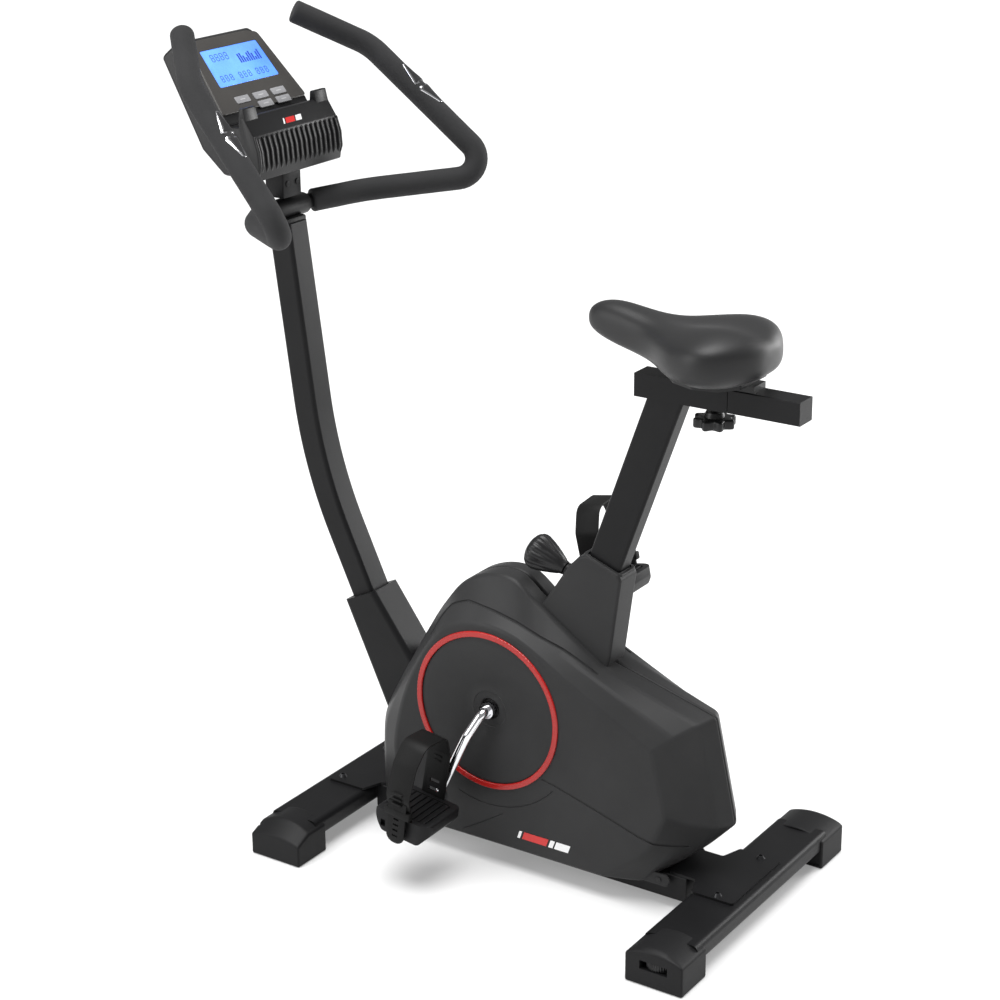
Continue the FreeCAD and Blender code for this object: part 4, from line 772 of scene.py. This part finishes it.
def make_cap(side, name, x, slope, role):
    outline = cap_outline()
    drop, low = slope
    rings = [[(x + a, CAP_INNER, z) for a, z in outline]]
    rings.append([(x + a, CAP_OUTER - drop, z) for a, z in outline])
    rings.append([(x + a, CAP_OUTER, min(z, low + (z - 48) * 0.55 if z > low else z)) for a, z in outline])
    cap = skin(f"{role}_cap_{name}", rings)
    bevel(cap, 3.2, 3, 24)
    lip = skin("lip", [[(x + a, y, z) for a, z in inset(cap_outline(), 7)] for y in (CAP_INNER - 1,
                                                                                     CAP_INNER + 1.6)])
    cut(cap, [lip])
    if role == "front":
        wheel_x, wheel_y = FRONT_AXIS_X + 29, (STABILIZER_END + CAP_OUTER) / 2
        cut(cap, [box("room", (wheel_x - 24, wheel_y - 10, -2), (wheel_x + 40, wheel_y + 10, 45.5))])
    else:
        y = LEVELLER_Y
        cut(cap, [rod("room", 23.6, (x, y, 27.8), (x, y, 42.2), 64),
                  box("room", (x - 23.6, y, 27.8), (x + 23.6, 280, 42.2)),
                  rod("room", 5.4, (x, y, -2), (x, y, 50), 32),
                  rod("room", 18, (x, y, -2), (x, y, 9), 48)])
    if side < 0:
        flip_y(cap)
    finish_piece(cap, "frame", "cap_plastic", *([f"{role}_caps"] if side > 0 else []), facets=True)


def make_front_cap(side, name):
    make_cap(side, name, FRONT_AXIS_X, (30, 36), "front")


def make_rear_cap(side, name):
    make_cap(side, name, REAR_AXIS_X, (9, 50), "rear")


def make_leveller(side, name):
    rim = []
    for k in range(144):
        angle = 2 * math.pi * k / 144
        wide = 22.4 + 0.5 * math.cos(36 * angle)
        rim.append((REAR_AXIS_X + wide * math.cos(angle), LEVELLER_Y + wide * math.sin(angle)))
    wheel = bevel(skin("wheel", [[(x, y, z) for x, y in rim] for z in (29, 41)]), 1.2, 2, 60)
    stem = revolve("stem", [(17, 0), (17, 5), (16, 6), (7, 8), (5, 8.4), (5, 47)],
                   (REAR_AXIS_X, LEVELLER_Y, 0), (0, 0, 1), 48)
    whole = join(f"leveller_wheel_{name}", [wheel, stem])
    if side < 0:
        flip_y(whole)
    finish_piece(whole, "leveller_" + name, "black_plastic", "leveller_" + name)


both_sides(make_front_cap)
both_sides(make_rear_cap)
both_sides(make_leveller)


# ------------------------------------------------------------------ pedals
ARM_ANGLE = math.radians(-65.4)
CRANK_LENGTH = 170
PEDAL_MIDDLE_Y = 180
ARM = Vector((math.cos(ARM_ANGLE), 0, math.sin(ARM_ANGLE))) * CRANK_LENGTH
SOLE = [(-56, -4), (-54, 9), (47, 9), (51, -2), (32, -28), (-38, -28)]
TREAD_PLAN = [(-56, -47), (53, -47), (53, 47), (-56, 47)]
TREAD_CORNERS = [14, 11, 16, 21]
TREAD_RECESS = [(-45, -37), (42, -37), (42, 37), (-45, 37)]
STRAP = [(-46, 9), (-50, 90), (-34, 131), (26, 136), (48, 105), (60, 52), (45, 9)]
STRAP_BENDS = [24, 22, 24, 40, 25]
PEDAL_TILT = {"left": 8, "right": -11}


def make_pedal(side, name):
    middle = CRANK + ARM * side + Vector((0, side * PEDAL_MIDDLE_Y, 0))
    place = Matrix.Translation(middle) @ Matrix.Rotation(math.radians(-PEDAL_TILT[name]), 4, "Y")
    mirrored = place @ Matrix.Scale(side, 4, (0, 1, 0))
    body = prism("body", round_outline(SOLE, [9, 3, 3, 5, 10, 12], 5), -47, 47, mirrored)
    plan = skin("plan", [[(x, y, z) for x, y in round_outline(TREAD_PLAN, TREAD_CORNERS,
                                                              7)] for z in (-40, 20)], place=mirrored)
    cut(body, [plan], "INTERSECT")
    bevel(body, 2.2, 3, 30)
    recess = round_outline(TREAD_RECESS, 12, 5)
    hollows = [skin("recess", [[(x, y, z) for x, y in recess] for z in (7.2, 16)], place=mirrored)]
    for x in (-14, 6, 26):
        hollows.append(box("slot", (x, 40, -20), (x + 9, 60, -8), 0, mirrored))
    cut(body, hollows)
    treads = [box("tread", (x - 1.6, -35, 6), (x + 1.6, 35, 9.4), 0.8, mirrored) for x in range(-38, 40, 11)]
    whole = join(f"pedal_body_{name}", [body] + treads)
    finish_piece(whole, "pedal_" + name, "pedal_plastic", "pedal_" + name)

    route = bent_path([(0, y, z) for y, z in STRAP], STRAP_BENDS, 4)
    rings = []
    for k, point in enumerate(route):
        ahead = (route[min(k + 1, len(route) - 1)] - route[max(k - 1, 0)]).normalized()
        out = Vector((0, -ahead.z, ahead.y))
        rings.append([point + Vector((dx, 0, 0)) + out * dn for dx, dn in
                      ((-22, 0), (-22, -2.6), (-17, -3.2), (17, -3.2), (22, -2.6), (22, 0))])
    band = skin("band", rings, place=mirrored)
    bevel(band, 0.7, 2, 40)
    cut(band, [box("slot", (-9, -70, z), (9, -30, z + 7), 0, mirrored) for z in (17, 32)])
    extras = [box("tooth", (-7, -49, z), (7, -44.5, z + 3), 0.5, mirrored) for z in (72, 80)]
    extras += [box("tooth", (-9, 54.5, z), (9, 62, z + 3), 0.5, mirrored) for z in (38, 47, 56)]
    buckle = box("buckle", (-24, 46, 14), (24, 58, 27), 2, mirrored)
    outline = round_outline([(-17, -34), (17, -34), (17, 42), (-17, 42)], [15, 15, 1, 1], 5)
    tail = skin("tail", [[(x, y + 0.02 * (z - 42), z) for x, z in outline] for y in (54.6, 57.4)],
                place=mirrored)
    bevel(tail, 0.6, 2, 40)
    cut(tail, [box("slot", (-5, 48, z), (5, 64, z + 3.4), 0, mirrored) for z in (-22, -12, -2, 8)])
    strap = join(f"toe_strap_{name}", [band, buckle, tail] + extras)
    finish_piece(strap, "pedal_" + name, "strap_rubber", f"pedal_{name}_strap")


both_sides(make_pedal)


# ------------------------------------------------------------------ console
SLOPE = math.radians(50)
FACE_UP = Vector((math.cos(SLOPE), 0, math.sin(SLOPE)))
FACE_OUT = Vector((-FACE_UP.z, 0, FACE_UP.x))
FACE_ORIGIN = Vector((480.6, 0, 1214.5))


def on_face(along, y, out=0.0):
    return FACE_ORIGIN + FACE_UP * along + Vector((0, y, 0)) + FACE_OUT * out


def face_plate(name, outline, low, high, edge=0.0):
    """Plate on the console face; outline points are (up the face, across)."""
    made = skin(name, [[on_face(a, b, out) for a, b in outline] for out in (low, high)])
    return bevel(made, edge, 3, 40) if edge else made


low_end, high_end = on_face(-47, 0, -3), on_face(88, 0, -3)
SHELL = [(413, 1082, 100), (443, 1163, 104), (low_end.x, low_end.z, 106), (high_end.x, high_end.z, 80),
         (556, 1282, 88), (571, 1260, 108), (500, 1120, 104), (462, 1082, 98)]
shell = skin("console_shell", [[(x, side * y, z) for x, z, y in SHELL] for side in (-1, 1)])
bevel(shell, 6, 4, 20)
finish_piece(shell, "frame", "black_plastic", "console_housing", facets=True)

SCREEN = [(0, -73), (0, 73), (68, 69), (68, -69)]
FACE = [(-46, -104), (-46, 104), (82, 84), (88, 60), (88, -60), (82, -84)]
face = face_plate("console_panel", round_outline(FACE, [6, 6, 9, 40, 40, 9], 5), -4, 0, 1.2)
KEY_PITCH, KEY_SHIFT = 44.5, 2
BUTTONS = [(-27, 1, "display"), (-27, 0, "mode"), (-27, -1, "set"), (-43, 0, "reset"), (-43, -1, "start")]
cutters = [face_plate("window", round_outline(SCREEN, 3, 4), -1.2, 2)]
for along, column, _ in BUTTONS:
    y = column * KEY_PITCH - KEY_SHIFT
    room = [(along - 6.8, y - 17.3), (along - 6.8, y + 17.3), (along + 6.8, y + 17.3),
            (along + 6.8, y - 17.3)]
    cutters.append(face_plate("room", round_outline(room, 2.2, 3), -5, 2))
cut(face, cutters)
finish_piece(face, "frame", "face_plastic", "console_face")

glass = face_plate("display_window", round_outline(inset(SCREEN, 0.4), 3, 4), -1.6, -0.5, 0.3)
finish_piece(glass, "frame", "screen", "lcd_screen")


def segment_bar(along, y, length, width, across):
    """One display segment, long across the screen or up it."""
    a, b = (width / 2, length / 2) if across else (length / 2, width / 2)
    return [(along - a, y - b), (along - a, y + b), (along + a, y + b), (along + a, y - b)]


SEVEN = ((1, 0, True), (0, 0, True), (-1, 0, True), (0.5, 0.5, False), (0.5, -0.5, False), (-0.5, 0.5, False),
         (-0.5, -0.5, False))
bars = []
for along, spacing, first, count, size in ((52, 11, 50, 4, 8), (14, 11, 56, 3, 7), (14, 11, 12, 3, 7),
                                           (14, 11, -30, 3, 7)):
    for digit in range(count):
        middle = first - digit * spacing
        for dz, dy, across in SEVEN:
            bars.append(segment_bar(along + dz * size * 0.75, middle + dy * size * 0.8, size * 0.62, 1.1,
                                    across))
for k in range(10):
    tall = 5 + 13 * abs(math.sin(1.1 + k * 0.75))
    bars.append(segment_bar(34 + tall / 2, -8 - k * 5.4, tall, 3.4, False))
ink = join("display_segments", [face_plate("bar", bar, -0.55, -0.32) for bar in bars])
finish_piece(ink, "frame", "screen", material=EXTRA["lcd_ink"])

for along, column, name in BUTTONS:
    y = column * KEY_PITCH - KEY_SHIFT
    key = [(along - 6.2, y - 16.7), (along - 6.2, y + 16.7), (along + 6.2, y + 16.7), (along + 6.2, y - 16.7)]
    cap = face_plate(f"key_{name}", round_outline(key, 2, 3), -2, 1.2, 0.8)
    finish_piece(cap, f"button_{name}", "button_plastic", f"button_{name}")
    dash = [(along - 0.8, y - 6), (along - 0.8, y + 6), (along + 0.8, y + 6), (along + 0.8, y - 6)]
    legend = face_plate(f"key_dash_{name}", dash, 1.1, 1.28)
    finish_piece(legend, f"button_{name}", "button_plastic", material=EXTRA["legend_grey"])

LEDGE = [(386, 1082), (383, 1104), (385, 1128), (392, 1152), (410, 1179), (417, 1180), (422, 1163),
         (443, 1163), (413, 1082)]
ledge = prism("ledge", round_outline(LEDGE, [4, 18, 22, 8, 3, 2, 2, 0, 0], 5), -105, 105)
bevel(ledge, 2.0, 3, 35)
PRONG = [(406, 1170), (412, 1194), (420, 1193), (422, 1166)]
parts = [ledge]
for low_y in (-104.5, 72.5):
    prong = prism("prong", round_outline(PRONG, [0, 2, 2, 0], 3), low_y, low_y + 32)
    parts.append(bevel(prong, 1.5, 2, 40))
RIB = [(388, 1087), (380, 1104), (381.8, 1128), (388.4, 1149), (394, 1152), (396, 1090)]
for k in range(17):
    y = -97 + k * 194 / 16
    rib = prism("rib", round_outline(RIB, [3, 12, 16, 3, 0, 0], 4), y - 2.6, y + 2.6)
    parts.append(bevel(rib, 1.1, 2, 50))
for y in (-104.2, 100.2):
    cheek = prism("cheek", round_outline([(388, 1083), (380, 1104), (381.8, 1128), (389.5, 1151), (400, 1156),
                                          (400, 1086)], [3, 12, 16, 3, 0, 0], 4), y, y + 4)
    parts.append(bevel(cheek, 1.0, 2, 50))
finish_piece(join("tablet_rest", parts), "frame", "black_plastic", "tablet_ledge")

BACK_LOW, BACK_HIGH = Vector((500, 0, 1120)), Vector((571, 0, 1260))
BACK_UP = (BACK_HIGH - BACK_LOW).normalized()
BACK_OUT = Vector((BACK_UP.z, 0, -BACK_UP.x))


def back_plate(name, outline, low, high):
    """Raised plate on the back of the console; outline points are (up the back, across)."""
    made = skin(name, [[BACK_LOW + BACK_UP * up + Vector((0, y, 0)) + BACK_OUT * out for up, y in outline]
                       for out in (low, high)])
    return bevel(made, 0.6, 2, 40)


trim = [back_plate("door", round_outline([(18, -42), (18, 42), (70, 42), (70, -42)], 5, 4), -1, 1.2)]
for k in range(6):
    up = 88 + 8 * k
    trim.append(back_plate("louvre", round_outline([(up, -48), (up, 48), (up + 3.5, 48), (up + 3.5, -48)],
                                                   1.5, 3), -1, 1.3))
for up, y in ((14, -84), (14, 84), (140, -84), (140, 84)):
    centre = BACK_LOW + BACK_UP * up + Vector((0, y, 0))
    trim.append(rod("screw", 3.6, centre - BACK_OUT, centre + BACK_OUT * 1.2, 24, 0.4))
finish_piece(join("console_back_trim", trim), "frame", "black_plastic")

bracket = box("console_stem", (404, -23, 1037), (441, 23, 1084), 2.5)
cap_bolt = rod("bolt", 5, (402.5, -12, 1060), (405, -12, 1060), 24, 0.8)
second = rod("bolt", 5, (402.5, 12, 1060), (405, 12, 1060), 24, 0.8)
finish_piece(join("console_stem", [bracket, cap_bolt, second]), "frame", "frame_paint", "console_bracket")


# ------------------------------------------------------------------ marks, tabs and small trim
def slanted(start, length, height, slant=0.35):
    return [(start, 0), (start + length, 0), (start + length + height * slant, height),
            (start + height * slant, height)]


MARK = ((0, 5, "mark_white"), (9, 46, "mark_red"), (59, 8, "mark_white"), (70, 26, "mark_white"))


def make_side_mark(side, name):
    """Plain slanted bars on the side panel, reading forwards on each side."""
    for k, (start, length, finish) in enumerate(MARK):
        outline = slanted(start, length, 13)
        points = []
        for out in (PANEL_Y - 0.8, PANEL_Y + 0.6):
            points.append([(-72 - a if side > 0 else -168 + a, side * out, 63.5 + b) for a, b in outline])
        finish_piece(skin(f"side_mark_{name}_{k}", points), "frame", "casing_plastic", material=EXTRA[finish])


both_sides(make_side_mark)

lip_low, lip_high = Vector((392, 0, 1152)), Vector((410, 0, 1179))
lip_up = (lip_high - lip_low).normalized()
lip_out = Vector((-lip_up.z, 0, lip_up.x))
for k, (start, length, finish) in enumerate(((0, 3, "mark_white"), (6, 22, "mark_red"),
                                             (31, 14, "mark_white"))):
    rings = [[lip_low + lip_up * (8 + b) + lip_out * out + Vector((0, 24 - a, 0)) for a,
              b in slanted(start, length, 9)] for out in (0.0, 0.45)]
    finish_piece(skin(f"ledge_mark_{k}", rings), "frame", "black_plastic", material=EXTRA[finish])


def make_tab(side, name):
    tab = prism("tab", round_outline([(-238, 41), (-238, 62), (-332, 62), (-340, 54), (-334, 41)], 4, 3),
                54, 57.5)
    bevel(tab, 1, 2, 40)
    screw = rod("screw", 4.6, (-320, 57, 51), (-320, 59.4, 51), 24, 1.0)
    tab = join(f"casing_tab_{name}", [tab, screw])
    if side < 0:
        flip_y(tab)
    finish_piece(tab, "frame", "casing_plastic")


both_sides(make_tab)


def make_panel_screw(side, name, x):
    screw = rod(f"panel_screw_{name}_{abs(x)}", 3.4, (x, 78, 60), (x, PANEL_Y - 0.3, 60), 28, 0.4)
    if side < 0:
        flip_y(screw)
    finish_piece(screw, "frame", "casing_plastic", "casing_screws")


for screw_x in (-120, 60):
    for screw_side, side_name in ((1, "left"), (-1, "right")):
        make_panel_screw(screw_side, side_name, screw_x)

plug = box("rail_end_plug", (-361.6, -41.6, 18.4), (-352, 41.6, 55.6), 1.5)
finish_piece(plug, "frame", "black_plastic")


# ------------------------------------------------------------------ floor, light and camera
def stage_plane(name, size, z, material):
    mesh = bpy.data.meshes.new(name)
    mesh.from_pydata([(-size, -size, z), (size, -size, z), (size, size, z), (-size, size, z)], [],
                     [(0, 1, 2, 3)])
    made = bpy.data.objects.new(name, mesh)
    bpy.context.scene.collection.objects.link(made)
    made.data.materials.append(material)
    return made


pale = surface("pale_floor", (0.56, 0.56, 0.56), 0.75, spread=0.01, grain=40, bump=0.0, patch=2)
glow = pale.node_tree.nodes["Principled BSDF"].inputs
glow["Emission Color"].default_value = (1, 1, 1, 1)
glow["Emission Strength"].default_value = 0.25
FLOOR_HALF, FLOOR_Z = 80, -0.0005
stage_plane("floor", FLOOR_HALF, FLOOR_Z, pale)

world = bpy.data.worlds.new("studio")
bpy.context.scene.world = world
world.use_nodes = True
world.node_tree.nodes["Background"].inputs["Color"].default_value = (1, 1, 1, 1)
world.node_tree.nodes["Background"].inputs["Strength"].default_value = 0.3

sky = bpy.data.lights.new("overhead", "SUN")
sky.energy = 4.4
sky.angle = math.radians(45)
overhead = bpy.data.objects.new("overhead", sky)
bpy.context.scene.collection.objects.link(overhead)
overhead.rotation_mode = "QUATERNION"
overhead.rotation_quaternion = Vector((0.0, -0.1, -1)).to_track_quat("-Z", "Y")


def area_light(name, place, target, size, power):
    data = bpy.data.lights.new(name, "AREA")
    data.shape = "RECTANGLE"
    data.size, data.size_y = size
    data.energy = power
    lamp = bpy.data.objects.new(name, data)
    bpy.context.scene.collection.objects.link(lamp)
    lamp.location = place
    lamp.rotation_mode = "QUATERNION"
    lamp.rotation_quaternion = (Vector(target) - Vector(place)).to_track_quat("-Z", "Y")
    return lamp


area_light("key", (1.7, 2.7, 1.9), (0, 0, 0.4), (2.0, 2.0), 55)
area_light("rim", (-1.6, -2.8, 1.3), (-0.3, 0, 0.3), (1.2, 1.8), 70)

CAMERA_PLACE = (-1.9524, 2.8763, 1.8865)
CAMERA_LOOK = Vector((0.52343, -0.77772, -0.34811))
CAMERA_ROLL = math.radians(-0.5175)
lens = bpy.data.cameras.new("camera")
lens.sensor_width = 36
lens.lens = 84.67
lens.clip_start = 0.05
lens.clip_end = 100
camera = bpy.data.objects.new("camera", lens)
bpy.context.scene.collection.objects.link(camera)
camera.location = CAMERA_PLACE
camera.rotation_mode = "QUATERNION"
camera.rotation_quaternion = CAMERA_LOOK.to_track_quat("-Z", "Y") @ Quaternion((0, 0, 1), CAMERA_ROLL)
bpy.context.scene.camera = camera
bpy.context.scene.view_settings.view_transform = "Standard"
